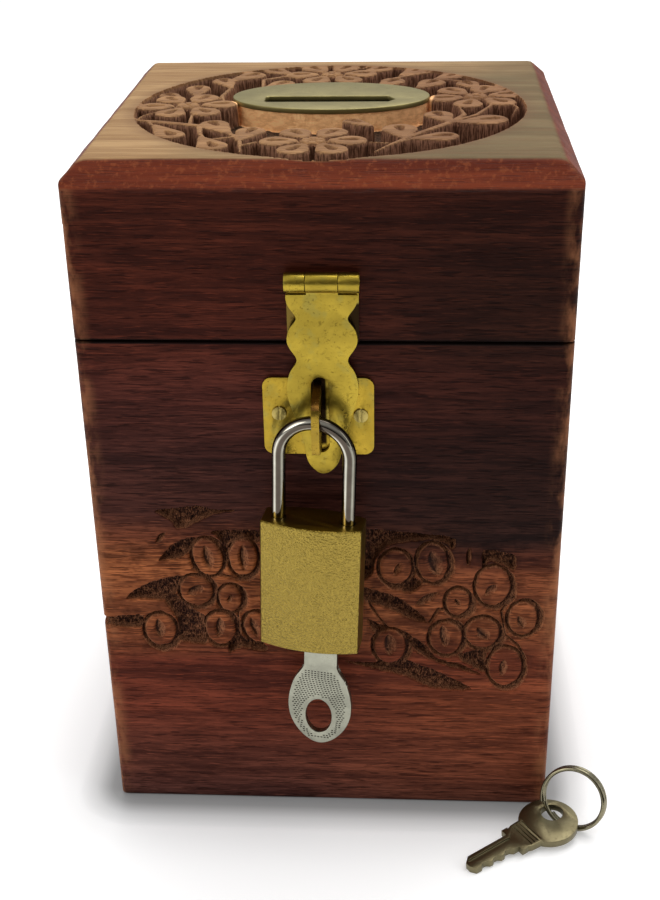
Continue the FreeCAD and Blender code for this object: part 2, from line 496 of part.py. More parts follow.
plug = cyl((PLUG_X, 0, LOCK_BOT), (0, 0, 1), PLUG_R, 15.0)
plug = fuse(plug, cyl((PLUG_X, 0, LOCK_BOT + 14.5), (0, 0, 1), 2.25, NZ0 - 0.3 - LOCK_BOT - 14.5), cyl((PLUG_X + CAM_R, 0, NZ0 - 0.4), (0, 0, 1), CAM_PIN, 1.25))
plug = cut(plug, box(PLUG_X - 2.6, PLUG_X + 2.6, -0.88, 0.88, LOCK_BOT - 1, LOCK_BOT + 14.3))
plug = cut(plug, *[cyl((PLUG_X, 0, z), (-1, 0, 0), 0.85, 5) for z in PIN_Z])
groove = cyl((PLUG_X, 0, CLIP_Z - 0.5), (0, 0, 1), PLUG_R + 1, 1.0).cut(cyl((PLUG_X, 0, CLIP_Z - 1), (0, 0, 1), 2.55, 3))
plug = plug.cut(groove)
plug = max(plug.Solids, key=lambda k: k.Volume)
save("lock_plug", put(plug))

kp, dp, sprs, caps = [], [], [], []
for z, edge in zip(PIN_Z, BIT_EDGE):
    inner, outer = edge - 0.06, PLUG_X - 3.05
    kp.append(cyl((inner, 0, z), (-1, 0, 0), 0.78, inner - outer))
    dp.append(cyl((PLUG_X - 3.32, 0, z), (-1, 0, 0), 0.8, 3.0))
    sprs.append(helix_spring((-8.6, 0, z), (1, 0, 0), 0.55, 0.25, 8.6 - 3.0 - 3.32 + PLUG_X - 0.05, 6))
    caps.append(cyl((-8.6, 0, z), (-1, 0, 0), 1.1, 5).common(lens(LOCK_HW, LOCK_SIDE, LOCK_MID, LOCK_BOT, LOCK_TOP)))
save("key_pins", *put(*kp))
save("driver_pins", *put(*dp))
save("pin_springs", *put(*sprs))
save("pin_chamber_plugs", *put(*caps))

# key in the lock: blade up in the keyway, oval bow hanging below
KEY_T = 1.6
zb = LOCK_BOT
BOW = [(3.65, zb - 0.1), (3.65, zb - 6.0), (4.2, zb - 7.4), (5.4, zb - 9.3), (6.55, zb - 12.5), (7.14, zb - 16.3), (6.55, zb - 20.8), (4.88, zb - 24.0), (2.7, zb - 26.2), (0.0, zb - 27.2)]
right = [V(PLUG_X + w, -KEY_T / 2, z) for w, z in BOW]
left = [V(PLUG_X - w, -KEY_T / 2, z) for w, z in BOW[::-1]]
curve = Part.BSplineCurve()
curve.interpolate(right[1:] + left[1:-1])
kw = Part.Wire(Part.__sortEdges__([Part.LineSegment(right[0], right[1]).toShape(), curve.toShape(), Part.LineSegment(left[-2], left[-1]).toShape(), Part.LineSegment(left[-1], right[0]).toShape()]))
key = Part.Face(kw).extrude(V(0, KEY_T, 0))
hole = Part.Ellipse(V(0, 0, 0), 4.6, 3.0).toShape()
hole = Part.Face(Part.Wire([hole])).extrude(V(0, 0, 6))
hole.Placement = FreeCAD.Placement(V(PLUG_X - 0.2, 3, zb - 19.7), FreeCAD.Rotation(V(0, 0, 1), V(0, 0, 1)))
hole.rotate(V(PLUG_X - 0.2, 3, zb - 19.7), V(1, 0, 0), 90)
hole.rotate(V(PLUG_X - 0.2, 3, zb - 19.7), V(0, 1, 0), 90)
key = key.cut(hole)
e0, e1, e2 = BIT_EDGE
xr = PLUG_X + 2.5
blade = prism([(xr, zb - 0.3), (xr, zb + 12.6), (xr - 1.6, zb + 14.0), (e2 + 0.2, zb + 14.0), (e2, zb + 13.4), (e2, PIN_Z[2] - 1.3), (e1, PIN_Z[2] - 1.9), (e1, PIN_Z[1] - 1.3), (e0, PIN_Z[1] - 1.9), (e0, zb - 0.3)], "y", -0.8, 0.8)
blade = blade.cut(box(PLUG_X - 0.1, PLUG_X + 0.9, -1, -0.5, zb + 0.2, zb + 15))
key = fuse(key, blade)
save("lock_key", put(key))

# ---------------------------------------------------------------- spare key lying at the front right corner, with its split ring
SK_TIP = V(32.0, -73.4, 0)
SK_ANGLE = math.degrees(math.atan2(-59.9 + 73.4, 50.9 - 32.0))
SK_PITCH = 4.02
SK_T = 1.7
SK_BOW_X, SK_BOW_R = 23.2, 6.85
sk = cyl((SK_BOW_X, 0, 0), (0, 0, 1), SK_BOW_R, SK_T)
grip = prism([(13.6, -3.3), (15.2, -3.9), (18.5, -4.1), (18.5, 4.1), (15.2, 3.9), (13.6, 3.3)], "z", 0.0, SK_T)
shoulder = prism([(12.6, -3.7), (14.2, -3.7), (14.2, 3.9), (12.6, 3.9)], "z", 0.0, SK_T)
blade_out = [(0.0, -0.6), (0.9, -1.9), (2.4, -1.9), (3.1, -1.3), (3.9, -1.4), (4.6, -2.0), (5.4, -2.1), (6.2, -1.5), (7.0, -1.6), (7.7, -2.2), (8.6, -2.2),
             (9.4, -1.5), (10.4, -1.6), (11.2, -2.3), (12.8, -2.3), (12.8, 2.2), (1.6, 2.2), (0.0, 0.8)]
bl = prism(blade_out, "z", 0.0, SK_T).cut(box(0.8, 13.0, 0.4, 1.2, SK_T - 0.45, SK_T + 1))
ribs = [box(15.3 + 0.9 * i, 15.6 + 0.9 * i, -3.4, 3.4, SK_T - 0.25, SK_T + 1) for i in range(4)]
HOLE_L, HOLE_P, HOLE_R = 25.54, 1.37, 2.55
sk = fuse(sk, grip, shoulder, bl)
sk = cut(sk, cyl((HOLE_L, HOLE_P, -1), (0, 0, 1), HOLE_R, 4), *ribs)
sk = max(sk.Solids, key=lambda k: k.Volume)
SPARE = FreeCAD.Placement(SK_TIP, FreeCAD.Rotation(V(0, 0, 1), SK_ANGLE).multiply(FreeCAD.Rotation(V(0, 1, 0), -SK_PITCH)))
sk.Placement = SPARE.multiply(sk.Placement)
sk.translate(V(0, 0, -sk.optimalBoundingBox().ZMin))
save("spare_key", sk)
hole_world = SPARE.multVec(V(HOLE_L, HOLE_P, SK_T / 2))
print("spare key hole at", hole_world)

RING_C = (56.63, -57.23)
RING_AZ, RING_LEAN = -25.45, 19.38
RING_WIRE, RING_MEAN = 1.05, 7.15
rp = Part.makeHelix(1.2, 2.4 * 0.96, RING_MEAN)
e0_ = rp.Edges[0]
prof = Part.Wire([Part.Circle(e0_.valueAt(e0_.FirstParameter), e0_.tangentAt(e0_.FirstParameter), RING_WIRE / 2).toShape()])
ring = Part.Wire(rp.Edges).makePipeShell([prof], True, True)
ring.translate(V(0, 0, -1.15))
ring.rotate(V(0, 0, 0), V(0, 0, 1), 229.5)
# the ring's own axis is laid level, turned to its azimuth and leaned back
ring.rotate(V(0, 0, 0), V(1, 0, 0), 90)
ring.rotate(V(0, 0, 0), V(1, 0, 0), -RING_LEAN)
ring.rotate(V(0, 0, 0), V(0, 0, 1), RING_AZ)
ring.translate(V(RING_C[0], RING_C[1], 0))
ring.translate(V(0, 0, -ring.optimalBoundingBox().ZMin))
save("key_ring", ring)
print("ring z", ring.optimalBoundingBox().ZMin, ring.optimalBoundingBox().ZMax, "wire volume", math.pi * (RING_WIRE / 2) ** 2 * 2 * math.pi * RING_MEAN * 1.92)
print("padlock axes", LOCK.Rotation.multVec(V(0, 0, 1)), LOCK.Rotation.multVec(V(1, 0, 0)), "plug at", LOCK.multVec(V(PLUG_X, 0, LOCK_BOT)))
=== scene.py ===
import bpy, bmesh, math
import numpy as np
from mathutils import Matrix, Vector


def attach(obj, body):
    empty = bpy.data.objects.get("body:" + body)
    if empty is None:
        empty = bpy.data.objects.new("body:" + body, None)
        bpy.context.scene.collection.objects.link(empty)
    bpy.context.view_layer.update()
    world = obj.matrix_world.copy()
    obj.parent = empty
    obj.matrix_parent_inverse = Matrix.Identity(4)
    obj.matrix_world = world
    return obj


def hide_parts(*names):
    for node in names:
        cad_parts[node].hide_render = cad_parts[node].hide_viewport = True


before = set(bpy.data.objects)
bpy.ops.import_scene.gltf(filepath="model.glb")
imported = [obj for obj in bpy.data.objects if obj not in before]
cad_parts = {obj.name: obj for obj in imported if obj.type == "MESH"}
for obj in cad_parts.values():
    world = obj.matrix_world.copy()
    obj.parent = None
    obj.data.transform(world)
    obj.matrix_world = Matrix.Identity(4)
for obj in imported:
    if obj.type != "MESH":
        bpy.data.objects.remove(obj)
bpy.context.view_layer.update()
MM = 0.001
HX = HY = 50.8
H = 155.0


# ------------------------------------------------------------------ small helpers
def lin(r, g, b, k=1.0):
    out = []
    for c in (r, g, b):
        c = c / 255.0
        out.append((c / 12.92 if c <= 0.04045 else ((c + 0.055) / 1.055) ** 2.4) * k)
    return (out[0], out[1], out[2], 1.0)


_tab = np.random.RandomState(11).rand(256, 256)


def vnoise(x, y):
    xi, yi = np.floor(x).astype(np.int64), np.floor(y).astype(np.int64)
    fx, fy = x - xi, y - yi
    fx, fy = fx * fx * (3 - 2 * fx), fy * fy * (3 - 2 * fy)
    a = _tab[xi & 255, yi & 255]
    b = _tab[(xi + 1) & 255, yi & 255]
    c = _tab[xi & 255, (yi + 1) & 255]
    d = _tab[(xi + 1) & 255, (yi + 1) & 255]
    return (a * (1 - fx) + b * fx) * (1 - fy) + (c * (1 - fx) + d * fx) * fy


def fbm(x, y, octaves=3):
    s, amp, tot = 0.0, 1.0, 0.0
    for k in range(octaves):
        s = s + amp * (vnoise(x * 2 ** k + 17.3 * k, y * 2 ** k + 5.1 * k) - 0.5)
        tot += amp
        amp *= 0.5
    return 2 * s / tot


def smooth(t):
    t = np.clip(t, 0, 1)
    return t * t * (3 - 2 * t)


def sd_poly(X, Y, pts):
    """Signed distance to a closed polygon, negative inside."""
    n = len(pts)
    d = np.full(X.shape, 1e9)
    inside = np.zeros(X.shape, bool)
    for i in range(n):
        ax, ay = pts[i]
        bx, by = pts[(i + 1) % n]
        ex, ey = bx - ax, by - ay
        wx, wy = X - ax, Y - ay
        t = np.clip((wx * ex + wy * ey) / (ex * ex + ey * ey), 0, 1)
        d = np.minimum(d, (wx - ex * t) ** 2 + (wy - ey * t) ** 2)
        cond = ((ay > Y) != (by > Y))
        with np.errstate(divide="ignore", invalid="ignore"):
            xc = (bx - ax) * (Y - ay) / (by - ay if by != ay else 1e-12) + ax
        inside ^= cond & (X < xc)
    d = np.sqrt(d)
    return np.where(inside, -d, d)


def sd_drop(X, Y, a, b, ra, rb):
    """Signed distance to the hull of two discs."""
    hx, hy = b[0] - a[0], b[1] - a[1]
    h = math.hypot(hx, hy)
    ux, uy = hx / h, hy / h
    px = np.abs((X - a[0]) * -uy + (Y - a[1]) * ux)
    py = (X - a[0]) * ux + (Y - a[1]) * uy
    bb = (ra - rb) / h
    aa = math.sqrt(max(1 - bb * bb, 1e-6))
    k = -bb * px + aa * py
    d0 = np.hypot(px, py) - ra
    d1 = np.hypot(px, py - h) - rb
    d2 = aa * px + bb * py - ra
    return np.where(k < 0, d0, np.where(k > aa * h, d1, d2))


def rounded(pts, times=2):
    """Corner cutting, so a traced outline reads as a knife cut and not as a polygon."""
    for _ in range(times):
        out = []
        n = len(pts)
        for i in range(n):
            ax, ay = pts[i]
            bx, by = pts[(i + 1) % n]
            out.append((ax * 0.8 + bx * 0.2, ay * 0.8 + by * 0.2))
            out.append((ax * 0.2 + bx * 0.8, ay * 0.2 + by * 0.8))
        pts = out
    return pts


def stations(lo, hi, parts):
    """Grid lines from lo to hi: parts is a list of (start, end, step); the rest is coarse."""
    xs = {round(lo, 4), round(hi, 4)}
    for a, b, s in parts:
        n = max(int(round((b - a) / s)), 1)
        for i in range(n + 1):
            xs.add(round(a + (b - a) * i / n, 4))
    xs = sorted(x for x in xs if lo <= x <= hi)
    out = [xs[0]]
    for x in xs[1:]:
        if x - out[-1] > 1e-3:
            out.append(x)
    out[-1] = hi
    return np.array(out)


def put_object(name, verts, faces, mats, smooth_deg=38):
    me = bpy.data.meshes.new(name)
    me.from_pydata([tuple(v) for v in verts], [], [tuple(int(i) for i in f) for f in faces])
    bm = bmesh.new()
    bm.from_mesh(me)
    bmesh.ops.recalc_face_normals(bm, faces=bm.faces)
    bm.to_mesh(me)
    bm.free()
    me.polygons.foreach_set("use_smooth", [True] * len(me.polygons))
    me.set_sharp_from_angle(angle=math.radians(smooth_deg))
    o = bpy.data.objects.new(name, me)
    bpy.context.scene.collection.objects.link(o)
    for m in mats:
        me.materials.append(m)
    return o


def grid_solid(name, U, V, point, back, mats, hole=None, smooth_deg=38):
    """Closed solid over a grid. point(U, V) gives the outer surface (n, m, 3) in mm, back(U, V) the inner one."""
    UU, VV = np.meshgrid(U, V)
    F = point(UU, VV).reshape(-1, 3)
    nu, nv = len(U), len(V)
    idx = np.arange(nu * nv).reshape(nv, nu)
    keep = np.ones((nv - 1, nu - 1), bool)
    if hole is not None:
        uc = (UU[:-1, :-1] + UU[1:, 1:]) / 2
        vc = (VV[:-1, :-1] + VV[1:, 1:]) / 2
        keep &= ~hole(uc, vc)
    q = np.stack([idx[:-1, :-1], idx[:-1, 1:], idx[1:, 1:], idx[1:, :-1]], -1)[keep]
    # border edges of the kept cells
    e = np.concatenate([q[:, [0, 1]], q[:, [1, 2]], q[:, [2, 3]], q[:, [3, 0]]])
    key = np.sort(e, 1)
    uniq, inv, cnt = np.unique(key, axis=0, return_inverse=True, return_counts=True)
    border = e[cnt[inv.reshape(-1)] == 1]
    B = back(UU, VV).reshape(-1, 3)
    ring = np.unique(border)
    remap = {int(v): len(F) + i for i, v in enumerate(ring)}
    verts = np.concatenate([F, B[ring]]) * MM
    faces = [tuple(x) for x in q]
    nxt = {}
    for a, b in border:
        a, b = int(a), int(b)
        faces.append((b, a, remap[a], remap[b]))
        nxt[a] = b
    loops = []
    left = dict(nxt)
    while left:
        s = next(iter(left))
        loop = [s]
        c = left.pop(s)
        while c != s:
            loop.append(c)
            c = left.pop(c)
        loops.append(loop)
    loops.sort(key=len, reverse=True)
    if len(loops) == 1:
        faces.append(tuple(remap[i] for i in reversed(loops[0])))
        extra = None
    else:
        extra = loops
    used = np.zeros(len(verts), bool)
    for f in faces:
        used[list(f)] = True
    if extra is not None:
        for lp in extra:
            used[[remap[i] for i in lp]] = True
    new = np.cumsum(used) - 1
    verts = verts[used]
    faces = [tuple(new[list(f)]) for f in faces]
    if extra is None:
        return put_object(name, verts, faces, mats, smooth_deg)
    # inner surface with a hole: filled between the loops
    me = bpy.data.meshes.new(name)
    me.from_pydata([tuple(v) for v in verts], [], [tuple(int(i) for i in f) for f in faces])
    bm = bmesh.new()
    bm.from_mesh(me)
    bm.edges.ensure_lookup_table()
    open_edges = [ed for ed in bm.edges if ed.is_boundary]
    bmesh.ops.triangle_fill(bm, use_beauty=True, use_dissolve=False, edges=open_edges)
    bmesh.ops.recalc_face_normals(bm, faces=bm.faces)
    bm.to_mesh(me)
    bm.free()
    me.polygons.foreach_set("use_smooth", [True] * len(me.polygons))
    me.set_sharp_from_angle(angle=math.radians(smooth_deg))
    o = bpy.data.objects.new(name, me)
    bpy.context.scene.collection.objects.link(o)
    for m in mats:
        me.materials.append(m)
    return o


# ------------------------------------------------------------------ node material helper
class Nodes:
    def __init__(self, name):
        self.m = bpy.data.materials.new(name)
        self.m.use_nodes = True
        self.nt = self.m.node_tree
        self.nt.nodes.clear()
        self.out = self.nt.nodes.new("ShaderNodeOutputMaterial")
        self.b = self.nt.nodes.new("ShaderNodeBsdfPrincipled")
        self.nt.links.new(self.b.outputs[0], self.out.inputs[0])
        tc = self.nt.nodes.new("ShaderNodeTexCoord")
        mp = self.nt.nodes.new("ShaderNodeMapping")
        mp.inputs["Scale"].default_value = (1000, 1000, 1000)
        self.nt.links.new(tc.outputs["Object"], mp.inputs["Vector"])
        self.P = mp.outputs[0]
        self.N = tc.outputs["Normal"]
        sp = self.nt.nodes.new("ShaderNodeSeparateXYZ")
        self.nt.links.new(self.P, sp.inputs[0])
        self.x, self.y, self.z = sp.outputs
        sn = self.nt.nodes.new("ShaderNodeSeparateXYZ")
        self.nt.links.new(self.N, sn.inputs[0])
        self.nx, self.ny, self.nz = sn.outputs

    def set(self, sock, v):
        if isinstance(v, bpy.types.NodeSocket):
            self.nt.links.new(v, sock)
        else:
            sock.default_value = v

    def math(self, op, a, b=0.0, c=0.0, clamp=False):
        n = self.nt.nodes.new("ShaderNodeMath")
        n.operation = op
        n.use_clamp = clamp
        for s, v in zip(n.inputs, (a, b, c)):
            self.set(s, v)
        return n.outputs[0]

    def span(self, v, lo, hi, a=0.0, b=1.0):
        n = self.nt.nodes.new("ShaderNodeMapRange")
        n.clamp = True
        n.interpolation_type = "SMOOTHSTEP"
        for s, q in zip(n.inputs, (v, lo, hi, a, b)):
            self.set(s, q)
        return n.outputs[0]

    def scale(self, sx, sy, sz, vec=None, off=(0, 0, 0)):
        n = self.nt.nodes.new("ShaderNodeMapping")
        n.inputs["Scale"].default_value = (sx, sy, sz)
        n.inputs["Location"].default_value = off
        self.nt.links.new(vec or self.P, n.inputs["Vector"])
        return n.outputs[0]

    def noise(self, vec, scale=1.0, detail=4.0, rough=0.55, dist=0.0, color=False):
        n = self.nt.nodes.new("ShaderNodeTexNoise")
        self.nt.links.new(vec, n.inputs["Vector"])
        n.inputs["Scale"].default_value = scale
        n.inputs["Detail"].default_value = detail
        n.inputs["Roughness"].default_value = rough
        n.inputs["Distortion"].default_value = dist
        return n.outputs["Color" if color else "Fac"]

    def voronoi(self, vec, scale=1.0, feature="F1", out="Distance"):
        n = self.nt.nodes.new("ShaderNodeTexVoronoi")
        n.feature = feature
        self.nt.links.new(vec, n.inputs["Vector"])
        n.inputs["Scale"].default_value = scale
        return n.outputs[out]

    def ramp(self, fac, stops, mode="LINEAR"):
        n = self.nt.nodes.new("ShaderNodeValToRGB")
        n.color_ramp.interpolation = mode
        el = n.color_ramp.elements
        while len(el) > 1:
            el.remove(el[-1])
        el[0].position, el[0].color = stops[0]
        for p, c in stops[1:]:
            e = el.new(p)
            e.color = c
        self.set(n.inputs[0], fac)
        return n.outputs[0]

    def mix(self, fac, a, b, mode="MIX"):
        n = self.nt.nodes.new("ShaderNodeMix")
        n.data_type = "RGBA"
        n.blend_type = mode
        n.clamp_factor = True
        self.set(n.inputs[0], fac)
        self.set(n.inputs[6], a)
        self.set(n.inputs[7], b)
        return n.outputs[2]

    def grey(self, v):
        n = self.nt.nodes.new("ShaderNodeCombineColor")
        for s in n.inputs[:3]:
            self.set(s, v)
        return n.outputs[0]

    def bump(self, height, strength=0.5, dist=0.0002, normal=None):
        n = self.nt.nodes.new("ShaderNodeBump")
        n.inputs["Strength"].default_value = strength
        n.inputs["Distance"].default_value = dist
        self.set(n.inputs["Height"], height)
        if normal is not None:
            self.nt.links.new(normal, n.inputs["Normal"])
        return n.outputs[0]

    def done(self, color, rough, metallic=0.0, normal=None, spec=0.5, coat=0.0, coat_rough=0.2):
        self.set(self.b.inputs["Base Color"], color)
        self.set(self.b.inputs["Roughness"], rough)
        self.b.inputs["Metallic"].default_value = metallic
        self.b.inputs["Specular IOR Level"].default_value = spec
        self.b.inputs["Coat Weight"].default_value = coat
        self.b.inputs["Coat Roughness"].default_value = coat_rough
        if normal is not None:
            self.nt.links.new(normal, self.b.inputs["Normal"])
        return self.m


# ------------------------------------------------------------------ wood
def wood(name, top=False):
    g = Nodes(name)
    warp = g.noise(g.scale(0.012, 0.012, 0.05), 1.0, 3, 0.5)
    warpz = g.math("MULTIPLY", g.math("SUBTRACT", warp, 0.5), 9.0)
    # fibres run level, so every texture is drawn out along x and y and fine across z
    if top:
        coarse_v = g.scale(0.018, 0.22, 0.35)
        fine_v = g.scale(0.06, 1.7, 1.7)
        pore_v = g.scale(0.16, 4.2, 4.2)
    else:
        coarse_v = g.scale(0.026, 0.026, 0.34)
        fine_v = g.scale(0.085, 0.085, 2.0)
        pore_v = g.scale(0.17, 0.17, 2.3)
    coarse = g.noise(coarse_v, 1.0, 5, 0.6, 0.6)
    fine = g.noise(fine_v, 1.0, 6, 0.65, 0.25)
    pores = g.noise(pore_v, 1.0, 2, 0.5)
    pore = g.span(pores, 0.56, 0.66)
    zw = g.math("ADD", g.z, warpz)
    k = g.math("DIVIDE", zw, 155.0)

    def c(r, gg, b, m=1.25):
        q = lin(r, gg, b, m)
        return (q[0] * 0.72, q[1] * 0.585, q[2] * 0.52, 1.0)

    left = g.ramp(k, [(0.00, c(84, 60, 60)), (0.06, c(98, 62, 54)), (0.16, c(104, 57, 44)), (0.26, c(102, 55, 42)), (0.31, c(140, 92, 62)),
                      (0.43, c(148, 100, 66)), (0.468, c(108, 68, 50)), (0.505, c(70, 44, 40)), (0.60, c(62, 38, 36)), (0.70, c(78, 44, 39)),
                      (0.77, c(72, 37, 29)), (0.84, c(70, 35, 26)), (0.935, c(66, 33, 24)), (1.0, c(70, 34, 24))])
    right = g.ramp(k, [(0.00, c(90, 62, 56)), (0.06, c(112, 70, 54)), (0.18, c(120, 72, 50)), (0.27, c(112, 64, 46)), (0.33, c(138, 92, 62)),
                       (0.405, c(130, 84, 58)), (0.438, c(84, 50, 38)), (0.472, c(42, 27, 25)), (0.60, c(42, 24, 21)), (0.72, c(54, 29, 24)),
                       (0.77, c(46, 26, 20)), (0.84, c(44, 24, 18)), (0.935, c(52, 27, 20)), (1.0, c(56, 28, 20))])
    side = g.span(g.math("ADD", g.x, g.math("MULTIPLY", warpz, 1.5)), -20.0, 38.0)
    base = g.mix(side, left, right)
    dark = g.mix(1.0, base, (0.42, 0.36, 0.36, 1), "MULTIPLY")
    lite = g.mix(1.0, base, (1.55, 1.45, 1.32, 1), "MULTIPLY")
    streak = g.span(coarse, 0.30, 0.70)
    col = g.mix(streak, dark, lite)
    col = g.mix(g.span(fine, 0.40, 0.62, 0.0, 0.62), col, g.mix(1.0, base, (0.55, 0.47, 0.45, 1), "MULTIPLY"))
    col = g.mix(g.math("MULTIPLY", pore, 0.8), col, g.mix(1.0, base, (0.26, 0.2, 0.18, 1), "MULTIPLY"))
    # short dark dashes of open grain, strongest on the paler, less stained parts
    dash = g.noise(g.scale(0.13, 0.13, 1.5, off=(17, 3, 5)), 1.0, 3, 0.6, 0.35)
    dash2 = g.noise(g.scale(0.3, 0.3, 2.6, off=(2, 13, 25)), 1.0, 2, 0.5, 0.2)
    open_grain = g.math("MAXIMUM", g.span(dash, 0.54, 0.62), g.span(dash2, 0.58, 0.66))
    belt = g.math("MULTIPLY", g.span(k, 0.22, 0.32), g.span(k, 0.52, 0.45)) if not top else 0.0
    col = g.mix(g.math("ADD", g.math("MULTIPLY", open_grain, 0.42), g.math("MULTIPLY", g.math("MULTIPLY", open_grain, belt), 0.38)), col, g.mix(1.0, base, (0.30, 0.2, 0.16, 1), "MULTIPLY"))
    bright = g.noise(g.scale(0.2, 0.2, 3.0, off=(0, 0, 40)), 1.0, 3, 0.6)
    col = g.mix(g.span(bright, 0.56, 0.70, 0.0, 0.5), col, g.mix(1.0, base, (2.3, 2.1, 1.8, 1), "MULTIPLY"))
    if not top:
        # uneven stain over the carved belt, and the dark joint under the lid
        blot = g.noise(g.scale(0.16, 0.16, 0.16, off=(8, 2, 6)), 1.0, 3, 0.6)
        col = g.mix(g.math("MULTIPLY", g.math("MULTIPLY", g.span(blot, 0.50, 0.60), belt), 0.55), col, g.mix(1.0, col, (0.38, 0.32, 0.30, 1), "MULTIPLY"))
        seam = g.span(g.math("ABSOLUTE", g.math("SUBTRACT", g.z, 118.5)), 0.75, 0.4)
        col = g.mix(g.math("MULTIPLY", seam, 0.95), col, lin(12, 7, 6))
    # worn, lighter upright corners
    ax, ay = g.math("ABSOLUTE", g.x), g.math("ABSOLUTE", g.y)
    corner = g.math("MINIMUM", ax, ay)
    wear_n = g.noise(g.scale(0.25, 0.25, 0.12), 1.0, 4, 0.6)
    edge = g.math("MULTIPLY", g.span(corner, 46.5, 50.6), g.span(wear_n, 0.36, 0.64))
    col = g.mix(g.math("MULTIPLY", edge, 0.55), col, lin(150, 98, 66, 1.2))
    depth = g.math("SUBTRACT", 50.8, g.math("MAXIMUM", ax, ay))
    rough = g.math("ADD", 0.34, g.math("MULTIPLY", fine, 0.16))
    fuzz = g.noise(g.scale(2.6, 2.6, 0.9), 1.0, 5, 0.72, 0.4)
    hgt = g.math("ADD", g.math("MULTIPLY", fine, 0.6), g.math("MULTIPLY", pore, -0.35))
    if not top:
        # chiselled ground: near-black where the cut is deeper than about a millimetre, with pale torn fibres
        body = g.span(g.z, 118.2, 118.6, 1.0, 0.0)
        cut = g.math("MULTIPLY", g.span(depth, 0.98, 1.45), body)
        hair = g.noise(g.scale(3.4, 3.4, 0.9, off=(4, 4, 1)), 1.0, 3, 0.65, 1.2)
        pale = g.math("MULTIPLY", g.span(hair, 0.48, 0.60), g.span(fuzz, 0.36, 0.52))
        ground = g.mix(pale, lin(26, 14, 11, 1.1), lin(118, 74, 52, 1.0))
        rim = g.span(depth, 0.42, 0.85)
        col = g.mix(g.math("MULTIPLY", g.math("MULTIPLY", rim, body), 0.9), col, g.mix(g.span(hair, 0.62, 0.72), lin(24, 12, 8), lin(112, 70, 48)))
        # painted highlight: walls of the cuts that face left or upward are lightened, below z 92 to 96
        lit = g.math("MAXIMUM", g.span(g.nx, -0.14, -0.42), g.span(g.nz, 0.16, 0.5))
        lit = g.math("MULTIPLY", g.math("MULTIPLY", lit, g.span(depth, 0.16, 0.36)), g.span(g.z, 96.0, 92.0))
        col = g.mix(g.math("MULTIPLY", cut, 0.92), col, ground)
        col = g.mix(g.math("MULTIPLY", lit, 0.42), col, g.mix(g.span(hair, 0.42, 0.58), lin(84, 48, 32), lin(176, 120, 84)))
        rough = g.math("ADD", rough, g.math("MULTIPLY", cut, 0.35))
        hgt = g.math("ADD", hgt, g.math("MULTIPLY", g.math("MULTIPLY", fuzz, cut), 3.0))
        # inner faces are bare wood
        inner = g.span(depth, 5.0, 6.5)
        col = g.mix(inner, col, g.mix(streak, lin(150, 110, 76), lin(176, 134, 96)))
    else:
        nzs = g.span(g.nz, 0.78, 0.95)
        dx = g.math("SUBTRACT", g.x, -0.3)
        dy = g.math("SUBTRACT", g.y, -3.0)
        rr = g.math("SQRT", g.math("ADD", g.math("MULTIPLY", dx, dx), g.math("MULTIPLY", dy, dy)))
        inside = g.span(rr, 43.3, 42.7)
        outer_side = g.span(g.z, 149.7, 150.4)
        # the 45 degree chamfer, redder than the faces
        cham = g.mix(streak, lin(84, 34, 22, 0.95), lin(118, 54, 32, 0.95))
        cham = g.mix(g.span(g.noise(g.scale(0.9, 0.9, 0.9), 1.0, 4, 0.6), 0.5, 0.68, 0.0, 0.5), cham, lin(140, 76, 44, 0.95))
        cham = g.mix(g.math("MULTIPLY", pore, 0.5), cham, lin(60, 30, 24))
        col = g.mix(outer_side, col, cham)
        # flat top: pale, partly rubbed wax and partly painted sheen, which fades greyer to the right and front corners
        gr = g.noise(g.scale(0.03, 0.03, 0.03, off=(3, 9, 0)), 1.0, 3, 0.5)
        t0 = g.mix(streak, lin(142, 110, 74, 1.05), lin(168, 136, 96, 1.05))
        t1 = g.mix(streak, lin(104, 88, 60, 0.82), lin(130, 112, 80, 0.82))
        mixf = g.span(g.math("ADD", g.math("MULTIPLY", g.x, 0.012), g.math("ADD", gr, g.math("MULTIPLY", g.y, -0.006))), 0.35, 1.0)
        topc = g.mix(mixf, t0, t1)
        topc = g.mix(g.math("MULTIPLY", g.span(fine, 0.45, 0.65), 0.45), topc, lin(112, 82, 58))
        near = g.math("MULTIPLY", g.span(rr, 46.5, 42.6), 0.4)
        topc = g.mix(near, topc, lin(104, 74, 52))
        col = g.mix(nzs, col, topc)
        # carved field
        dz = g.math("SUBTRACT", 155.0, g.z)
        ridge = g.mix(streak, lin(140, 104, 72, 1.1), lin(170, 130, 92, 1.1))
        ridge = g.mix(g.math("MULTIPLY", g.span(fine, 0.45, 0.62), 0.5), ridge, lin(104, 70, 54))
        floor = g.mix(g.span(fuzz, 0.42, 0.62), lin(46, 34, 25), lin(98, 70, 54))
        stri = g.noise(g.scale(3.2, 3.2, 0.25), 1.0, 3, 0.6)
        wall = g.mix(g.span(stri, 0.40, 0.62), lin(96, 64, 48), lin(166, 122, 98))
        # painted shade: the colour darkens from the ridge colour to the dark ground colour as the carving gets deeper
        deep = g.span(dz, 0.9, 4.2)
        carved = g.mix(deep, ridge, floor)
        carved = g.mix(g.math("MULTIPLY", g.span(g.nz, 0.72, 0.30), g.span(dz, 0.3, 1.0)), carved, wall)
